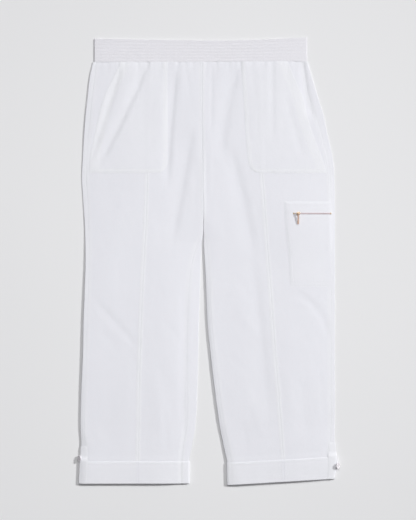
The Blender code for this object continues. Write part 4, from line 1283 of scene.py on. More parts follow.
@dataclass
class LegPanels:
    """The two front panels and the back of a leg, with their ends turned up as the cuff.

    Attributes:
        leg: the leg.
        step: rows' distance down the front.
        fine: the same by the waist and the hem.
    """

    leg: Leg
    step: float = 3.2
    fine: float = 2.2

    def front(self, side: Side) -> Object:
        """One front panel."""
        leg, run = self.leg, Run.make(self.step, self.fine)
        name = f"{leg.name}_{side.value}"
        faces = []
        for face in (0, 1):
            y = run.heights[face]
            along = leg.columns(side, y)
            away = [np.abs(along - along[:, :1]), np.abs(along - along[:, -1:])]
            out = run.outs[face][:, None] + self.sewn_relief(y, along, away)
            thin = pinch(away[0]) + pinch(away[1]) + self.end_pinch(run)[:, None]
            sign = np.where(run.outs[0] < run.outs[1], 1.0, -1.0)[:, None] * (1 if face == 0 else -1)
            faces.append(leg.point(y[:, None], along, out + sign * thin * WALL))
        chart = np.stack([along, np.broadcast_to(run.length[:, None], along.shape)], axis=-1)
        backing_and_shade = self.backing_and_shade(side, run, along, away)
        return cotton_piece(name, faces, chart, backing_and_shade)

    def end_pinch(self, run: Run) -> Array:
        """How much the wall rounds off at the cuff's edge, in each row."""
        return pinch(run.length[-1] - run.length)

    def sewn_relief(self, y: Array, along: Array, away: list[Array]) -> Array:
        """How seams draw a front panel in, and pucker it beside them."""
        y = y[:, None]
        near = sum(np.exp(-distance / 5.0) for distance in away)
        puckers = 0.04 * near * SEAM_RUMPLE.at(y, along)
        return seam_dip(away[0]) + seam_dip(away[1]) + puckers

    def backing_and_shade(self, side: Side, run: Run, along: Array, away: list[Array]) -> Array:
        """How backed the cloth is, by the pressed seam allowances, the pockets' ends and the cuff; on the
        cuff it is darker along the front seam.
        """
        seam = away[1] if side is Side.OUTER else away[0]
        other = away[0] if side is Side.OUTER else away[1]
        on_cuff = (run.outs[0] > run.outs[1])[:, None]
        front = np.where(on_cuff, -0.5 * smooth((4.5 - seam) / 2.5), 0.95 * smooth((7.2 - seam) / 4.5))
        return np.clip(front + 0.5 * smooth((9.0 - other) / 4.0) + 0.55 * on_cuff, 0.0, 1.0)

    def back(self) -> Object:
        """The back panel, which wraps round both edges of the leg."""
        leg, run = self.leg, Run.make(6.0, 3.0)
        faces = []
        for face in (0, 1):
            y = run.heights[face]
            flags, along = leg.back_columns(y)
            lengths = np.abs(np.diff(along, axis=1))
            turn_over = np.argmax(flags)
            lengths[:, turn_over - 1] = 0.0
            travelled = np.hstack([np.zeros((len(y), 1)), np.cumsum(lengths, axis=1)])
            away = [travelled, travelled[:, -1:] - travelled]
            out = run.outs[face][:, None] + seam_dip(away[0]) + seam_dip(away[1])
            thin = pinch(away[0]) + pinch(away[1]) + self.end_pinch(run)[:, None]
            sign = np.where(run.outs[0] < run.outs[1], 1.0, -1.0)[:, None] * (1 if face == 0 else -1)
            faces.append(leg.point(y[:, None], along, out + sign * thin * WALL, flags[None, :]))
        chart = np.stack([travelled, np.broadcast_to(run.length[:, None], along.shape)], axis=-1)
        backing_and_shade = 0.5 * smooth((7.0 - np.minimum(*away)) / 2.0)
        backing_and_shade = np.clip(backing_and_shade + 0.55 * (run.outs[0] > run.outs[1])[:, None], 0, 1)
        name = f"{leg.name}_back"
        return cotton_piece(name, faces, chart, backing_and_shade)

    def sew(self, thread: Thread) -> None:
        """Topstitching: both sides of the front seam, the cuff's hem and the centre seam."""
        leg = self.leg
        down = np.arange(TOP_ROW - 2.0, CUFF_TOP + 6.0, -3.0)
        for aside in (-3.1, 3.1):
            add_row(thread, leg, down, leg.line("front_seam", down) + aside, 0.0)
        centre = np.arange(TOP_ROW - 2.0, CROTCH + 6.0, -3.0)
        add_row(thread, leg, centre, leg.line("end", centre) + 2.6, 0.0)
        part = np.linspace(0.03, 0.97, 160)
        height = np.full(len(part), CUFF_TOP - 4.0)
        first, last = leg.line("side", height), leg.line("end", height)
        add_row(thread, leg, height, first + (last - first) * part, CUFF_OUT)

    def build(self, thread: Thread) -> list[Object]:
        """All three panels, and their stitches in the thread's rows."""
        made = [self.front(Side.OUTER), self.front(Side.CENTRE), self.back()]
        self.sew(thread)
        return made


def add_row(
    thread: Thread, leg: Leg, y: Array, along: Array, out: float | Array, pitch: float = STITCH_PITCH
) -> None:
    """Adds a row of stitches on a leg's front.

    Args:
        thread: takes the row.
        leg: the leg.
        y: heights of the line's points.
        along: how far they lie from the inner edge.
        out: how far the cloth that is sewn stands out.
        pitch: from one stitch to the next.
    """
    points = leg.point(y, along, out)
    outward = leg.point(y, along, np.asarray(out) + 1.0) - points
    thread.row(points, outward, pitch)


def stitch_grooves(away: Array, depth: float, widths: tuple[float, float] = (1.0, 1.2)) -> Array:
    """How two rows of stitches draw a patch in, this far from its edge."""
    first = -depth * bell((away - EDGE_STITCH) / widths[0])
    return first - depth * bell((away - SECOND_STITCH) / widths[1])


@dataclass
class HipPocket:
    """The slant-mouthed patch on a hip, with a rounded lower inner corner.

    Attributes:
        leg: the leg that it is sewn to.
    """

    leg: Leg

    def edges(self, y: Array) -> tuple[Array, Array]:
        """How far the mouth and the inner edge lie from the leg's inner edge."""
        above = np.clip(y - POCKET_FOOT, 0.0, POCKET_CORNER)
        inset = POCKET_CORNER - np.sqrt(POCKET_CORNER**2 - (POCKET_CORNER - above) ** 2)
        return self.leg.line("mouth", y), self.leg.line("pocket", y) + inset

    def out(self, y: Array, away: list[Array], foot: Array) -> Array:
        """How far the patch's inner face stands off the leg."""
        from_mouth, from_edge = away
        lift = MOUTH_LIFT * smooth(1 - from_mouth / 22) * smooth((TOP_ROW - y) / 30) * smooth(foot / 40)
        slack = POCKET_SLACK * smooth(from_edge / 30) * smooth(foot / 30) * smooth((TOP_ROW - y) / 30)
        sewn = stitch_grooves(from_edge, 0.05) + stitch_grooves(foot, 0.05)
        return REST + lift + slack + sewn

    def wall(self, y: Array, away: list[Array], foot: Array) -> Array:
        """How thick the patch is: pressed thin at its edges, but less so by the top of its mouth."""
        mouth = 0.8 * smooth((HIP_LINE - y) / 60)
        return pressed(pressed(PATCH_WALL, np.minimum(away[1], foot)), away[0], mouth)

    def build(self, thread: Thread) -> Object:
        """The patch, and its stitches in the thread's rows."""
        leg = self.leg
        arc = POCKET_FOOT + POCKET_CORNER * (1 - np.sin(np.linspace(0, math.pi / 2, 22)))
        y = np.concatenate([TOP_ROW - np.array(EDGE_ROWS), np.arange(TOP_ROW - 3.0, arc[0] + 1.5, -2.6), arc])
        first, last = self.edges(y)
        along = steps_from(first, last, (0.0, 0.3, 0.8, 1.5, 2.4, 3.5, 5.0, 6.6, 8.4), 52)
        away = [np.abs(along - along[:, :1]), np.abs(along - along[:, -1:])]
        foot = np.broadcast_to((y - POCKET_FOOT)[:, None], along.shape)
        out = self.out(y[:, None], away, foot)
        wall = self.wall(y[:, None], away, foot)
        rim = pinch(away[0]) + pinch(away[1]) + pinch(foot)
        puckers = PUCKER[0] * np.exp(-away[1] / PUCKER[1]) * SEAM_RUMPLE.at(y[:, None], along)
        puckers = puckers + PUCKER[0] * np.exp(-foot / PUCKER[1]) * SEAM_RUMPLE.at(along, y[:, None])
        faces = [
            leg.point(y[:, None], along, out + puckers + rim * wall),
            leg.point(y[:, None], along, out + puckers + wall - rim * wall),
        ]
        chart = np.stack([along, np.broadcast_to(TOP_ROW - y[:, None], along.shape)], axis=-1)
        hems = smooth((9.5 - away[1]) / 1.5) + smooth((9.5 - foot) / 1.5) + smooth((22.0 - away[0]) / 2.0)
        backing_and_shade = np.clip(0.3 + 0.6 * hems, 0.0, 1.0)
        name = f"{leg.name}_hip_pocket"
        obj = cotton_piece(name, faces, chart, backing_and_shade)
        for inside in (EDGE_STITCH, SECOND_STITCH):
            self.sew(thread, inside)
        return obj

    def sew(self, thread: Thread, inside: float) -> None:
        """Stitches down the inner edge, round the corner and along the foot, and by the mouth."""
        leg = self.leg
        radius = POCKET_CORNER - inside
        straight = np.arange(TOP_ROW - 2.0, POCKET_FOOT + POCKET_CORNER, -3.0)
        turned = np.linspace(0, math.pi / 2, 14)
        corner_y = POCKET_FOOT + POCKET_CORNER - radius * np.sin(turned)
        edge = leg.line("pocket", straight) + inside
        corner = leg.line("pocket", corner_y) + POCKET_CORNER - radius * np.cos(turned)
        foot_y = POCKET_FOOT + inside
        end = float(leg.line("mouth", np.array([foot_y]))[0]) - 2.0
        foot = np.arange(corner[-1] + 3.0, end, 3.0)
        y = np.concatenate([straight, corner_y, np.full(len(foot), foot_y)])
        along = np.concatenate([edge, corner, foot])
        self.add(thread, y, along)
        mouth_y = np.arange(TOP_ROW - 2.0, POCKET_FOOT + 4.0, -3.0)
        self.add(
            thread, mouth_y,
            leg.line("mouth", mouth_y) - inside - (10.0 if inside == SECOND_STITCH else 0.0),
        )

    def add(self, thread: Thread, y: Array, along: Array) -> None:
        """Adds stitches on the patch's outer face."""
        first, last = self.edges(y)
        place = (y, [np.abs(along - first), np.abs(along - last)], y - POCKET_FOOT)
        add_row(thread, self.leg, y, along, self.out(*place) + self.wall(*place))


@dataclass
class Waistband:
    """The pull-on waistband: cloth drawn in over rows of elastic, its front wrapped to both sides."""

    def edge(self, table: Sequence[tuple[float, float]], x: Array) -> Array:
        """The height of the band's top or foot, on a smooth curve."""
        rows = np.array(table)
        slopes = monotone_slopes(rows)[:, 1]
        k = np.clip(np.searchsorted(rows[:, 0], x, side="right") - 1, 0, len(rows) - 2)
        step = rows[k + 1, 0] - rows[k, 0]
        t = np.clip((x - rows[k, 0]) / step, 0.0, 1.0)
        return (
            (1 + 2 * t) * (1 - t) ** 2 * rows[k, 1] + t * (1 - t) ** 2 * step * slopes[k]
            + t * t * (3 - 2 * t) * rows[k + 1, 1] + t * t * (t - 1) * step * slopes[k + 1]
        )

    def place(self, travelled: Array, part: Array, out: Array, front: bool) -> Array:
        """Points of the band.

        Args:
            travelled: how far they lie round the band from its low side, over its outer face.
            part: how far up the band they lie, from 0 to 1.
            out: how far out of the outer face.
            front: whether on the front half.

        Returns:
            Points in mm.
        """
        radius = BAND_DEPTH / 2
        low, high = BAND_EDGES
        quarter = math.pi / 2 * radius
        flat = high - low - 2 * radius
        low_angle = np.clip(math.pi / 2 - travelled / radius, 0.0, None)
        high_angle = np.clip((travelled - quarter - flat) / radius, 0.0, None)
        angle = low_angle + high_angle
        x = np.clip(low + radius + travelled - quarter, low + radius, high - radius)
        x = x + (radius + out) * np.sin(angle) * np.where(high_angle > 0, 1.0, -1.0)
        rise = (radius + out) * np.cos(angle)
        foot, top = self.edge(BAND_FOOT, x), self.edge(BAND_TOP, x)
        y = foot + (top - foot) * part + 0.5 * BAND_WAVES.at(x, 40.0 * part) * part
        low_share, high_share, reach = BAND_THINNER
        ends = low_share * np.exp(-np.maximum(x - low, 0) / reach) + high_share * np.exp(
            -np.maximum(high - x, 0) / reach
        )
        z = (radius + rise if front else radius - rise) * (1.0 - ends)
        return np.stack([x - MIDDLE[0], y - MIDDLE[1], z], axis=-1)

    def relief(self, travelled: Array, part: Array, deep: float) -> Array:
        """Ribs over the elastic, drawn in by the sewing between them and puckered across."""
        channel = part * BAND_CHANNELS
        rib = np.square(np.sin(math.pi * channel))
        number = np.floor(np.clip(channel, 0, BAND_CHANNELS - 0.001))
        pucker = BAND_PUCKERS.at(travelled, number * 7.3 + 0.5)
        wave = BAND_WAVES.at(travelled, 8.0 * number)
        brim = BAND_BRIM[0] * np.exp(-(1 - part) * BAND_CUT / BAND_BRIM[1])
        return deep * (0.1 * rib - 0.05 + rib * (0.06 * pucker + 0.08 * wave) + brim)

    def build(self, front: bool, thread: Thread) -> Object:
        """One half of the band, and its stitches in the thread's rows."""
        radius = BAND_DEPTH / 2
        low, high = BAND_EDGES
        length = high - low - 2 * radius + math.pi * radius
        columns = 340 if front else 170
        travelled = np.linspace(0.15, length - 0.15, columns)[None, :]
        close = np.array([0.0, 0.006, 0.018])
        part = np.concatenate(
            [close, np.linspace(0.032, 0.968, 50 if front else 36), 1 - close[::-1]]
        )[:, None]
        relief = self.relief(travelled, part, 1.0 if front else 0.0)
        rim = np.broadcast_to(pinch((1 - part) * BAND_CUT), relief.shape) * 0.3
        faces = [
            self.place(travelled + 0 * part, part + 0 * travelled, -BAND_WALL + rim, front),
            self.place(travelled + 0 * part, part + 0 * travelled, relief - rim, front),
        ]
        chart = np.stack(np.broadcast_arrays(travelled, BAND_CUT * part), axis=-1)
        # Painted shade and highlight: the tone follows the relief, darker in the stitched grooves between the
        # ribs and lighter on the ribs and the top rim, partly for the elastic under each rib.
        backing_and_shade = np.clip(0.5 + 0.8 * relief, 0, 1)
        name = "waistband_front" if front else "waistband_back"
        obj = cloth_wall(name + "_cloth", (faces[0], faces[1]), chart, backing_and_shade, ELASTIC.material())
        declare(obj, chart, backing_and_shade, "ribbed_elastic", name)
        if front:
            self.sew(thread, length)
        return obj

    def sew(self, thread: Thread, length: float) -> None:
        """A row of stitches in each groove between the ribs."""
        travelled = np.arange(3.0, length - 3.0, 2.5)
        for channel in range(BAND_CHANNELS + 1):
            part = np.full(len(travelled), np.clip(channel / BAND_CHANNELS, 0.02, 0.98))
            relief = self.relief(travelled, part, 1.0)
            points = self.place(travelled, part, relief, True)
            thread.row(points, self.place(travelled, part, relief + 1.0, True) - points, *SHORT_STITCH)


# ---------------------------------------------------------------- zip pocket


@dataclass
class ZipPocket:
    """The zip pocket of the left thigh: its patch with a slot, the tape, the zip and its pull tab."""

    leg: Leg = LEFT

    def slot_end(self, y: Array) -> Array:
        """How far the slot's inner end lies from the leg's inner edge."""
        mouth, thigh = self.leg.line("mouth", y), self.leg.line("thigh", y)
        return mouth + (thigh - mouth) * ZIP_SHARE

    def out(self, y: Array, along: Array) -> Array:
        """How far the patch's outer face stands off the thigh: over the zip, but sewn down at its edges."""
        inner = self.leg.line("thigh", y)
        edges = smooth((along - inner) / 8) * smooth((ZIP_POCKET_TOP - y) / 7)
        below = smooth((y - ZIP_POCKET_FOOT) / (ZIP_TAPE[1] - ZIP_POCKET_FOOT))
        return REST + self.wall(y, along) + (ZIP_OUT - REST - PATCH_WALL) * edges * below

    def wall(self, y: Array, along: Array) -> Array:
        """How thick the patch is: pressed thinner at its edges."""
        nearest = np.minimum(
            along - self.leg.line("thigh", y), np.minimum(ZIP_POCKET_TOP - y, y - ZIP_POCKET_FOOT)
        )
        return pressed(PATCH_WALL, np.maximum(nearest, 0.0), 0.5)

    def grooves(self, y: Array, along: Array) -> Array:
        """How the stitches draw the patch in."""
        from_edge = along - self.leg.line("thigh", y)
        foot, head = y - ZIP_POCKET_FOOT, ZIP_POCKET_TOP - y
        made = 0.0
        for away in (from_edge, foot, head):
            made = made + stitch_grooves(away, 0.1)
        made = made + stitch_grooves(foot, 0.15, (1.8, 1.8))
        return made - 0.1 * bell((np.abs(y - ZIP_LINE) - ZIP_FRAME) / 1.2)

    def patch(self, thread: Thread) -> Object:
        """The patch."""
        leg = self.leg
        edge = np.array(EDGE_ROWS)
        marks = [ZIP_POCKET_TOP - edge, ZIP_POCKET_FOOT + edge]
        for height, way in zip(ZIP_LIPS, (1, -1)):
            marks.append(height + way * edge)
        above = np.arange(ZIP_POCKET_TOP - 3, ZIP_LIPS[0] + 2.4, -1.5)
        below = np.concatenate(
            [np.arange(ZIP_LIPS[1] - 3, 76.0, -1.5), np.arange(76.0, ZIP_POCKET_FOOT + 2.4, -2.6)]
        )
        between = np.concatenate([above, below])
        y = np.unique(np.concatenate([*marks, between]))[::-1]
        first, last = leg.line("side", y) - HALF_SEAM, leg.line("thigh", y)
        slot_end = self.slot_end(y)
        outer = steps_from(first, slot_end, EDGE_ROWS, 30)
        inner = steps_from(slot_end, last, (0.0, 0.3, 0.8, 1.5, 2.6, 4.0), 6)
        along = np.hstack([outer, inner[:, 1:]])
        split = outer.shape[1] - 1
        high, low = (int(np.argmin(np.abs(y - value))) for value in ZIP_LIPS)
        base = self.out(y[:, None], along) + self.grooves(y[:, None], along)
        wall = self.wall(y[:, None], along)
        away = [np.abs(along - along[:, :1]), np.abs(along - along[:, -1:])]
        rim = pinch(away[1]) + pinch(ZIP_POCKET_TOP - y[:, None]) + pinch(y[:, None] - ZIP_POCKET_FOOT)
        in_slot = along > slot_end[:, None] - 0.01
        by_slot = np.minimum(np.abs(y[:, None] - ZIP_LIPS[0]), np.abs(y[:, None] - ZIP_LIPS[1]))
        rim = rim + pinch(by_slot) * in_slot
        puckers = PUCKER[0] * np.exp(-away[1] / PUCKER[1]) * SEAM_RUMPLE.at(y[:, None], along)
        faces = [
            leg.point(y[:, None], along, base + puckers - wall + rim * wall),
            leg.point(y[:, None], along, base + puckers - rim * wall),
        ]
        chart = np.stack([along, np.broadcast_to(-y[:, None], along.shape)], axis=-1)
        backing_and_shade = np.full(along.shape, 0.3)

        def slot(column: Array, row: Array) -> Array:
            return (column < split) & (row > high) & (row < low)

        name = "left_zip_pocket"
        obj = cloth_wall(name + "_cloth", (faces[0], faces[1]), chart, backing_and_shade, COTTON.material(), slot)
        declare(obj, chart, backing_and_shade, "cotton", name)
        self.sew(thread)
        return obj

    def sew(self, thread: Thread) -> None:
        """Two rows round the patch, and one round the slot."""
        leg = self.leg
        for inside in (EDGE_STITCH, SECOND_STITCH):
            down = np.arange(ZIP_POCKET_TOP - inside, ZIP_POCKET_FOOT + inside, -3.0)
            self.add(thread, down, leg.line("thigh", down) + inside)
            for height in (ZIP_POCKET_TOP - inside, ZIP_POCKET_FOOT + inside):
                ends = np.array([height])
                across = np.arange(
                    float(leg.line("thigh", ends)[0]) + inside, float(leg.line("side", ends)[0]) - 2.0,
                    3.0,
                )
                self.add(thread, np.full(len(across), height), across)
        for height in (ZIP_LINE + ZIP_FRAME, ZIP_LINE - ZIP_FRAME):
            ends = np.array([height])
            across = np.arange(
                float(self.slot_end(ends)[0]) - 8.0, float(leg.line("side", ends)[0]) - 2.0, 3.0
            )
            self.add(thread, np.full(len(across), height), across)

    def add(self, thread: Thread, y: Array, along: Array) -> None:
        """Adds stitches on the patch's outer face."""
        add_row(thread, self.leg, y, along, self.out(y, along) + self.grooves(y, along))

    def tape(self) -> Object:
        """The tape under the slot."""
        leg = self.leg
        y = np.linspace(ZIP_TAPE[0], ZIP_TAPE[1], 26)
        along = steps_from(leg.line("side", y) - HALF_SEAM, self.slot_end(y), (0.0, 0.5), 40)
        faces = [leg.point(y[:, None], along, out) for out in TAPE_OUT]
        chart = np.stack([along, np.broadcast_to(-y[:, None], along.shape)], axis=-1)
        backing_and_shade = np.full(along.shape, 0.5)
        obj = cloth_wall("zip_tape_cloth", (faces[0], faces[1]), chart, backing_and_shade, TAPE_CLOTH.material())
        declare(obj, chart, backing_and_shade, "zip_tape", "zip_tape")
        return obj


def tooth_model() -> Object:
    """A zip tooth: a small block with a narrower head, bevelled."""
    clear_selection()
    bpy.ops.mesh.primitive_cube_add(size=1.0)
    tooth = bpy.context.object
    for vertex in tooth.data.vertices:
        head = vertex.co.y > 0
        vertex.co = Vector(
            (vertex.co.x * (0.9 if head else 1.25), vertex.co.y * 2.1, (vertex.co.z + 0.5) * 1.4)
        ) * MM
    apply_modifier(tooth, "BEVEL", width=0.00018, segments=1)
    return tooth


@dataclass
class ZipHardware:
    """The zip's teeth, stops, slider and pull tab.

    Attributes:
        pocket: the pocket that they belong to.
        pitch: from one tooth to the next on one side.
    """

    pocket: ZipPocket
    pitch: float = 2.3

    def teeth(self) -> Object:
        """Both rows of teeth, closed, with a stop at each end."""
        leg = self.pocket.leg
        y = ZIP_LINE
        heights = np.array([y])
        first = float(self.pocket.slot_end(heights)[0]) + 4.0
        last = float(leg.line("side", heights)[0]) - 1.4
        base = TAPE_OUT[1] + REST
        places = []
        for count, along in enumerate(np.arange(first, last, self.pitch / 2)):
            point = leg.point(np.array(y), np.array(along), np.array(base))
            way = 1.0 if count % 2 else -1.0
            place = Matrix.Translation(Vector(point) * MM + Vector((0, -way * 0.55 * MM, 0)))
            places.append(np.array(place @ Matrix.Rotation(0.0 if way > 0 else math.pi, 4, "Z")))
        stops = []
        for along in (first - 3.6, last + 1.2):
            point = leg.point(np.array(y), np.array(along), np.array(base))
            stops.append(
                np.array(Matrix.Translation(Vector(point) * MM) @ Matrix.Diagonal((2.3, 1.6, 1.1, 1.0)))
            )
        obj = joined_copies("zip_teeth", tooth_model(), np.array(places), TEETH_METAL.material())
        only(obj)
        bpy.ops.object.shade_smooth_by_angle(angle=math.radians(35))
        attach(obj, "garment")
        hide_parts("zip_chain")
        stop = joined_copies("zip_stops", tooth_model(), np.array(stops), PALE_GOLD.material())
        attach(stop, "garment")
        LOG.info("%s: %d teeth, and %d stops", obj.name, len(places), len(stops))
        return obj

    def slider(self) -> Object:
        """The slider: two tapered plates with a waist between them, and the bridge for the pull tab."""
        at = Vector((SLIDER_X - MIDDLE[0], ZIP_LINE - MIDDLE[1], SLIDER_SEAT)) * MM
        clear_selection()
        bpy.ops.mesh.primitive_cube_add(size=1.0)
        plate = bpy.context.object
        with editing():
            bpy.ops.mesh.subdivide(number_cuts=5)
        for vertex in plate.data.vertices:
            x, across, up = vertex.co
            narrow = 0.74 + 0.26 * float(smooth((x + 0.5) / 0.8))
            nose = math.sqrt(max(0.0, 1 - (2 * x) ** 4)) * 0.35 + 0.65
            crown = 1.0 + 0.16 * (1 - (2 * across) ** 2) * (up > 0)
            width = SLIDER_WIDTH * narrow * nose
            vertex.co = Vector((x * SLIDER_LENGTH, across * width, (up * crown + 0.5) * SLIDER_PLATE)) * MM
        move_points(plate, Matrix.Translation(at))
        apply_modifier(plate, "BEVEL", width=0.00025, segments=2, limit_method="ANGLE", angle_limit=SHARP)
        clear_selection()
        half, top, corner = SLIDER_LENGTH / 2 - 1.2, BAR_RISE, 0.7
        bpy.ops.curve.primitive_bezier_curve_add()
        bridge = bpy.context.object
        spline = bridge.data.splines[0]
        spline.bezier_points.add(4)
        path = (
            (-half, -0.7), (-half, top - corner), (-half + corner, top), (half - corner, top),
            (half, top - corner), (half, -0.7),
        )
        for point, (across, up) in zip(spline.bezier_points, path):
            point.co = at + Vector((across, 0.0, SLIDER_PLATE + up)) * MM
            point.handle_left_type = point.handle_right_type = "AUTO"
        bridge.data.bevel_depth = BAR_RADIUS * MM
        bridge.data.bevel_resolution = 3
        bridge.data.use_fill_caps = True
        bpy.ops.object.convert(target="MESH")
        bridge = bpy.context.object
        plate.select_set(True)
        bpy.context.view_layer.objects.active = plate
        bpy.ops.object.join()
        obj = solid("zip_slider_body", PALE_GOLD.material())
        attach(obj, "garment")
        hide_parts("zip_slider")
        LOG.info("%s: %d faces", obj.name, len(obj.data.polygons))
        return obj

    def pull_tab(self) -> Object:
        """The pull tab: an eye round the slider's bar and a long plate with a raised rim."""
        bar = SLIDER_SEAT + SLIDER_PLATE + BAR_RISE
        inner, outer = EYE_RADII
        clear_selection()
        bpy.ops.mesh.primitive_plane_add(size=1.0)
        plate = bpy.context.object
        with editing():
            bpy.ops.mesh.subdivide(number_cuts=15)
        near, far = (width / 2 for width in PULL_WIDTHS)
        length = PULL_LENGTH - (outer - 0.4)
        for vertex in plate.data.vertices:
            down = 0.5 - vertex.co.y
            half = near + (far - near) * float(smooth(down))
            tip = (down * length - (length - far)) / far
            half *= math.sqrt(max(0.02, 1 - max(0.0, tip) ** 2))
            vertex.co = Vector((2 * vertex.co.x * half, -(outer - 0.4) - down * length, -PULL / 2)) * MM
        with editing():
            bpy.ops.mesh.select_all(action="SELECT")
            bpy.ops.mesh.extrude_region_move(TRANSFORM_OT_translate={"value": (0, 0, PULL * MM)})
            bpy.ops.mesh.inset(thickness=0.0007, depth=0.0)
            bpy.ops.transform.translate(value=(0, 0, -0.00022))
        apply_modifier(plate, "BEVEL", width=0.0002, segments=2, limit_method="ANGLE", angle_limit=SHARP)
        clear_selection()
        bpy.ops.mesh.primitive_torus_add(
            major_radius=(inner + outer) / 2 * MM, minor_radius=(outer - inner) / 2 * MM,
            major_segments=28, minor_segments=12, rotation=(0, math.pi / 2, 0),
        )
        eye = bpy.context.object
        bpy.ops.object.transform_apply(location=True, rotation=True, scale=True)
        for vertex in eye.data.vertices:
            vertex.co.x *= EYE_WIDTH / (outer - inner)
        plate.select_set(True)
        bpy.context.view_layer.objects.active = plate
        bpy.ops.object.join()
        joined = bpy.context.object
        place = Matrix.Translation(Vector((SLIDER_X - MIDDLE[0], ZIP_LINE - MIDDLE[1], bar)) * MM)
        move_points(joined, place @ Matrix.Rotation(PULL_DROOP, 4, "X"))
        obj = solid("zip_pull_tab_plate", ROSE_GOLD.material())
        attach(obj, "pull_tab")
        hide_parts("zip_pull_tab")
        LOG.info("%s: %d faces", obj.name, len(obj.data.polygons))
        return obj


# ---------------------------------------------------------------- cuff tabs and buttons


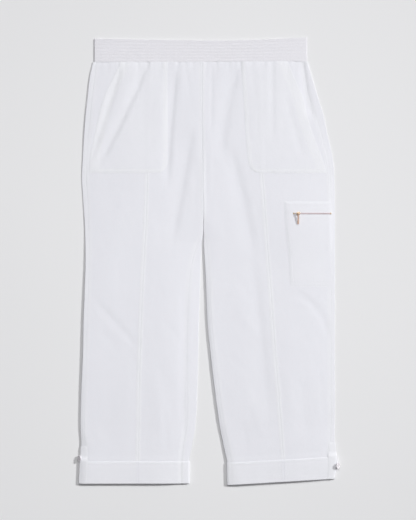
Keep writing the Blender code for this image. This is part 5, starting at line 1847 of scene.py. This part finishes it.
@dataclass
class CuffTab:
    """The tab that comes from inside a leg, round the hem and up over the cuff's side, and its button.

    Attributes:
        leg: the leg.
    """

    leg: Leg

    def stations(self) -> tuple[Array, Array]:
        """(y, turn round the hem) of the tab's rows, from its tip."""
        tip = TAB_TOP - np.array([0.0, 0.3, 0.8, 1.5, 2.4, 3.6, 5.0, 7.0])
        straight = np.arange(TAB_TOP - TAB_TIP[0], HEM_ROW + 1.0, -2.0)
        turned = np.radians(np.linspace(12, 120, 10))
        y = np.concatenate([tip, straight, [HEM_ROW], np.full(len(turned), HEM_ROW)])
        return y, np.concatenate([np.zeros(len(tip) + len(straight) + 1), turned])

    def reach(self, y: Array) -> Array:
        """How far the tab reaches in over the front, narrower at its rounded tip."""
        quarter = math.pi / 2 * self.leg.radius(y)
        length, share = TAB_TIP
        down = np.clip((TAB_TOP - y) / length, 0.0, 1.0)
        return quarter + (TAB_REACH - quarter) * (share + (1 - share) * np.sqrt(1 - (1 - down) ** 2))

    def out(self, y: Array, turned: Array) -> tuple[Array, Array]:
        """(out of the tab's inner face, the same for its y) before the turn round the hem."""
        over_cuff = smooth((CUFF_TOP + TAB_RAMP - y) / TAB_RAMP)
        return REST + CUFF_OUT * over_cuff, turned

    def bulge(self, y: Array) -> Array:
        """How far the tab's fold stands away from the leg's edge."""
        return np.interp(y, *np.array(TAB_BULGE[self.leg.name]).T)

    def point(self, y: Array, turned: Array, along: Array, out: Array) -> Array:
        """Points of the tab, on the leg's cloth or round the hem."""
        middle = CUFF_GAP / 2
        reach = out - middle
        height = y - reach * np.sin(turned)
        level = np.where(turned > 0, middle + reach * np.cos(turned), out)
        points = self.leg.point(height, along, level, False)
        share = np.clip((TAB_REACH - along) / (TAB_REACH - 1.5), 0.0, 1.0)
        points[..., 0] -= self.leg.inward * self.bulge(y) * share
        return points

    def tab(self, thread: Thread) -> Object:
        """The tab."""
        y, turned = self.stations()
        radius = self.leg.radius(y)
        quarter = math.pi / 2 * radius
        flat = steps_from(self.reach(y), quarter, EDGE_ROWS, 3)[:, :-3]
        round_it = quarter[:, None] - (quarter + TAB_WRAP * radius)[:, None] * np.linspace(0, 1, 19)[None, 1:]
        along = np.hstack([flat, round_it])
        base = self.out(y, turned)[0][:, None]
        away = np.abs(along - along[:, :1])
        wall = pressed(TAB_WALL, np.minimum(away, (TAB_TOP - y)[:, None]), 0.65)
        rim = pinch(away) + pinch((TAB_TOP - y)[:, None])
        faces = [
            self.point(y[:, None], turned[:, None], along, base + rim * wall),
            self.point(y[:, None], turned[:, None], along, base + wall - rim * wall),
        ]
        travelled = TAB_TOP - y + (turned * (CUFF_OUT + TAB_WALL))
        chart = np.stack([along, np.broadcast_to(travelled[:, None], along.shape)], axis=-1)
        backing_and_shade = np.full(along.shape, 0.8)
        name = f"{self.leg.name}_cuff_tab"
        obj = cotton_piece(name, faces, chart, backing_and_shade)
        row_y = np.arange(TAB_TOP - STITCH_PITCH, HEM_ROW + 2.0, -2.5)
        row_along = self.reach(row_y) - EDGE_STITCH
        out = self.out(row_y, 0 * row_y)[0] + TAB_SEWN * TAB_WALL
        points, raised = (self.point(row_y, 0 * row_y, row_along, level) for level in (out, out + 1.0))
        thread.row(points, raised - points, *SHORT_STITCH)
        return obj

    def button(self) -> Object:
        """The round button: a dished face in a rim, with four holes and the thread through them."""
        leg = self.leg
        y = BUTTON_Y[leg.name]
        radius = float(leg.radius(np.array(y)))
        edge = float(leg.section(np.array(y)).edge)
        from_axis = radius + REST + CUFF_OUT + TAB_WALL + REST
        bulge = float(self.bulge(np.array(y)))
        x = edge + leg.inward * (radius - bulge) - leg.inward * from_axis * math.cos(BUTTON_TILT)
        z = float(leg.floor(np.array(y))) + radius + from_axis * math.sin(BUTTON_TILT)
        z = max(z, BUTTON_RADIUS * math.cos(BUTTON_TILT) + BUTTON_CLEARANCE)
        clear_selection()
        bpy.ops.mesh.primitive_cylinder_add(
            vertices=40, radius=BUTTON_RADIUS * MM, depth=BUTTON_DEPTH * MM, end_fill_type="NGON"
        )
        disc = bpy.context.object
        move_points(disc, Matrix.Translation((0, 0, BUTTON_DEPTH / 2 * MM)))
        with editing():
            bpy.ops.mesh.select_all(action="DESELECT")
        for face in disc.data.polygons:
            face.select = face.normal.z > 0.9
        with editing():
            for ring in BUTTON_RINGS:
                bpy.ops.mesh.inset(thickness=ring)
            bpy.ops.transform.translate(value=(0, 0, -BUTTON_DISH * BUTTON_DEPTH * MM))
            bpy.ops.mesh.select_all(action="DESELECT")
        apply_modifier(
            disc, "BEVEL", width=0.0005, segments=3, limit_method="ANGLE", angle_limit=math.radians(25)
        )
        hole, away = BUTTON_HOLES
        for quarter in range(4):
            turned = math.pi / 4 + quarter * math.pi / 2
            at = (away * math.cos(turned), away * math.sin(turned), 0)
            clear_selection()
            bpy.ops.mesh.primitive_cylinder_add(vertices=16, radius=hole, depth=0.02, location=at)
            drill = bpy.context.object
            apply_modifier(disc, "BOOLEAN", operation="DIFFERENCE", object=drill)
            bpy.data.objects.remove(drill)
        tilt = Matrix.Rotation(-leg.inward * (math.pi / 2 - BUTTON_TILT), 4, "Y")
        place = Matrix.Translation(Vector((x - MIDDLE[0], y - MIDDLE[1], z)) * MM) @ tilt
        move_points(disc, place)
        only(disc)
        name = f"{leg.name}_tab_button"
        obj = solid(name + "_disc", SHELL.material(), 30.0)
        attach(obj, "garment")
        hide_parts(name)
        LOG.info("%s: %d faces", obj.name, len(obj.data.polygons))
        self.cross(place)
        return obj

    def cross(self, place: Matrix) -> Object:
        """The thread that crosses from hole to hole."""
        thread = Thread(f"{self.leg.name}_button_thread", THREAD.material())
        share, apart, half, length = BUTTON_THREAD
        level = share * BUTTON_DEPTH
        for turned in (math.pi / 4, 3 * math.pi / 4):
            for aside in (-apart, apart):
                away = Vector((math.cos(turned), math.sin(turned), 0)) * half
                shift = Vector((-math.sin(turned), math.cos(turned), 0)) * aside
                middle = shift + Vector((0, 0, level))
                ends = [place @ ((middle + sign * away) * MM) / MM for sign in (-1, 0, 1)]
                up = (place.to_3x3() @ Vector((0, 0, 1))).normalized()
                thread.row(np.array(ends), np.array([up] * 3), length, length)
        obj = thread.build()
        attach(obj, "garment")
        return obj


# ---------------------------------------------------------------- studio


@dataclass(frozen=True)
class Studio:
    """A pale floor, soft light from the upper right, and a camera straight above.

    Attributes:
        centre: what the camera looks at, in metres.
        seen: height of what it sees, in metres.
        lens: focal length, in mm.
        key: strength of the low light from the upper right.
        top: strength of the soft light from above the waistband.
        pool: power of the soft light overhead.
        pool_size: its width, in metres.
        pool_at: its place, in metres.
        world: strength of the light from all round.
        sky_colour: its colour, linear.
        sensor: width of the camera's sensor, in mm.
        floor_size: the floor's width, in metres.
        floor_drop: how far the floor lies below the cloth, in metres.
        floor_tones: the floor's two colours, linear.
    """

    centre: tuple[float, float, float] = (0.0005, 0.0033, 0.005)
    seen: float = 1.0816
    lens: float = 85.0
    key: float = 2.55
    top: float = 0.93
    pool: float = 4.16
    pool_size: float = 1.2
    pool_at: tuple[float, float, float] = (0.16, 0.16, 1.2)
    world: float = 0.158
    sky_colour: tuple[float, ...] = (0.97, 0.98, 1.0, 1.0)
    sensor: float = 36.0
    floor_size: float = 14.0
    floor_drop: float = 0.0004
    floor_tones: tuple[tuple[float, ...], ...] = ((0.775, 0.775, 0.785, 1), (0.785, 0.785, 0.795, 1))

    def floor(self) -> Object:
        """The pale floor."""
        clear_selection()
        bpy.ops.mesh.primitive_plane_add(size=self.floor_size, location=(0, 0, -self.floor_drop))
        obj = bpy.context.object
        obj.name = obj.data.name = "floor"
        bpy.ops.object.transform_apply(location=True, rotation=True, scale=True)
        material, wires, shader = new_material("pale_floor")
        place = material.node_tree.nodes.new("ShaderNodeTexCoord").outputs["Object"]
        tone = wires.ramp(wires.noise(place, 1.5, 1.0), *UNEVEN_RANGE, 0.0, 1.0)
        wires.feed(shader.inputs["Base Color"], wires.mix(tone, *self.floor_tones))
        shader.inputs["Roughness"].default_value = 0.95
        shader.inputs["Specular IOR Level"].default_value = 0.1
        obj.data.materials.append(material)
        return obj

    def lights(self) -> None:
        """Low light from the upper right, softer light from the top and overhead, and an even sky."""
        suns = (("key", self.key, 5.0, (1.45, 0.8, 1.0)), ("top", self.top, 24.0, (0.0, 0.84, 1.0)))
        for name, strength, angle, towards in suns:
            data = bpy.data.lights.new(name, "SUN")
            data.energy = strength
            data.angle = math.radians(angle)
            sun = bpy.data.objects.new(name, data)
            sun.rotation_euler = Vector(towards).to_track_quat("Z", "Y").to_euler()
            bpy.context.scene.collection.objects.link(sun)
        data = bpy.data.lights.new("pool", "AREA")
        data.energy = self.pool
        data.size = self.pool_size
        pool = bpy.data.objects.new("pool", data)
        pool.location = self.pool_at
        bpy.context.scene.collection.objects.link(pool)
        world = bpy.data.worlds.new("sky")
        world.use_nodes = True
        sky = world.node_tree.nodes["Background"]
        sky.inputs["Color"].default_value = self.sky_colour
        sky.inputs["Strength"].default_value = self.world
        bpy.context.scene.world = world
        bpy.context.scene.view_settings.view_transform = "Standard"

    def camera(self) -> None:
        """The camera, straight above."""
        data = bpy.data.cameras.new("camera")
        data.lens = self.lens
        data.sensor_width = self.sensor
        camera = bpy.data.objects.new("camera", data)
        height = self.seen * self.lens / data.sensor_width
        camera.location = (self.centre[0], self.centre[1], self.centre[2] + height)
        data.clip_end = 50.0
        bpy.context.scene.collection.objects.link(camera)
        bpy.context.scene.camera = camera


def main() -> None:
    """Builds the looks, piece by piece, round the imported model."""
    logging.basicConfig(level=logging.INFO, format="%(message)s")
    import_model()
    clear_selection()
    studio = Studio()
    studio.camera()
    studio.lights()
    studio.floor()
    names = ("right_leg", "left_leg", "waistband")
    sewing = {name: Thread(f"{name}_stitching", THREAD.material()) for name in names}
    band = Waistband()
    for front in (True, False):
        band.build(front, sewing["waistband"])
    for leg in (RIGHT, LEFT):
        thread = sewing[f"{leg.name}_leg"]
        LegPanels(leg).build(thread)
        HipPocket(leg).build(thread)
        tab = CuffTab(leg)
        tab.tab(thread)
        tab.button()
    pocket = ZipPocket()
    pocket.patch(sewing["left_leg"])
    pocket.tape()
    hardware = ZipHardware(pocket)
    hardware.teeth()
    hardware.slider()
    hardware.pull_tab()
    for thread in sewing.values():
        obj = thread.build()
        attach(obj, "garment")
        LOG.info("%s: %d faces", obj.name, len(obj.data.polygons))


if __name__ == "__main__":
    main()
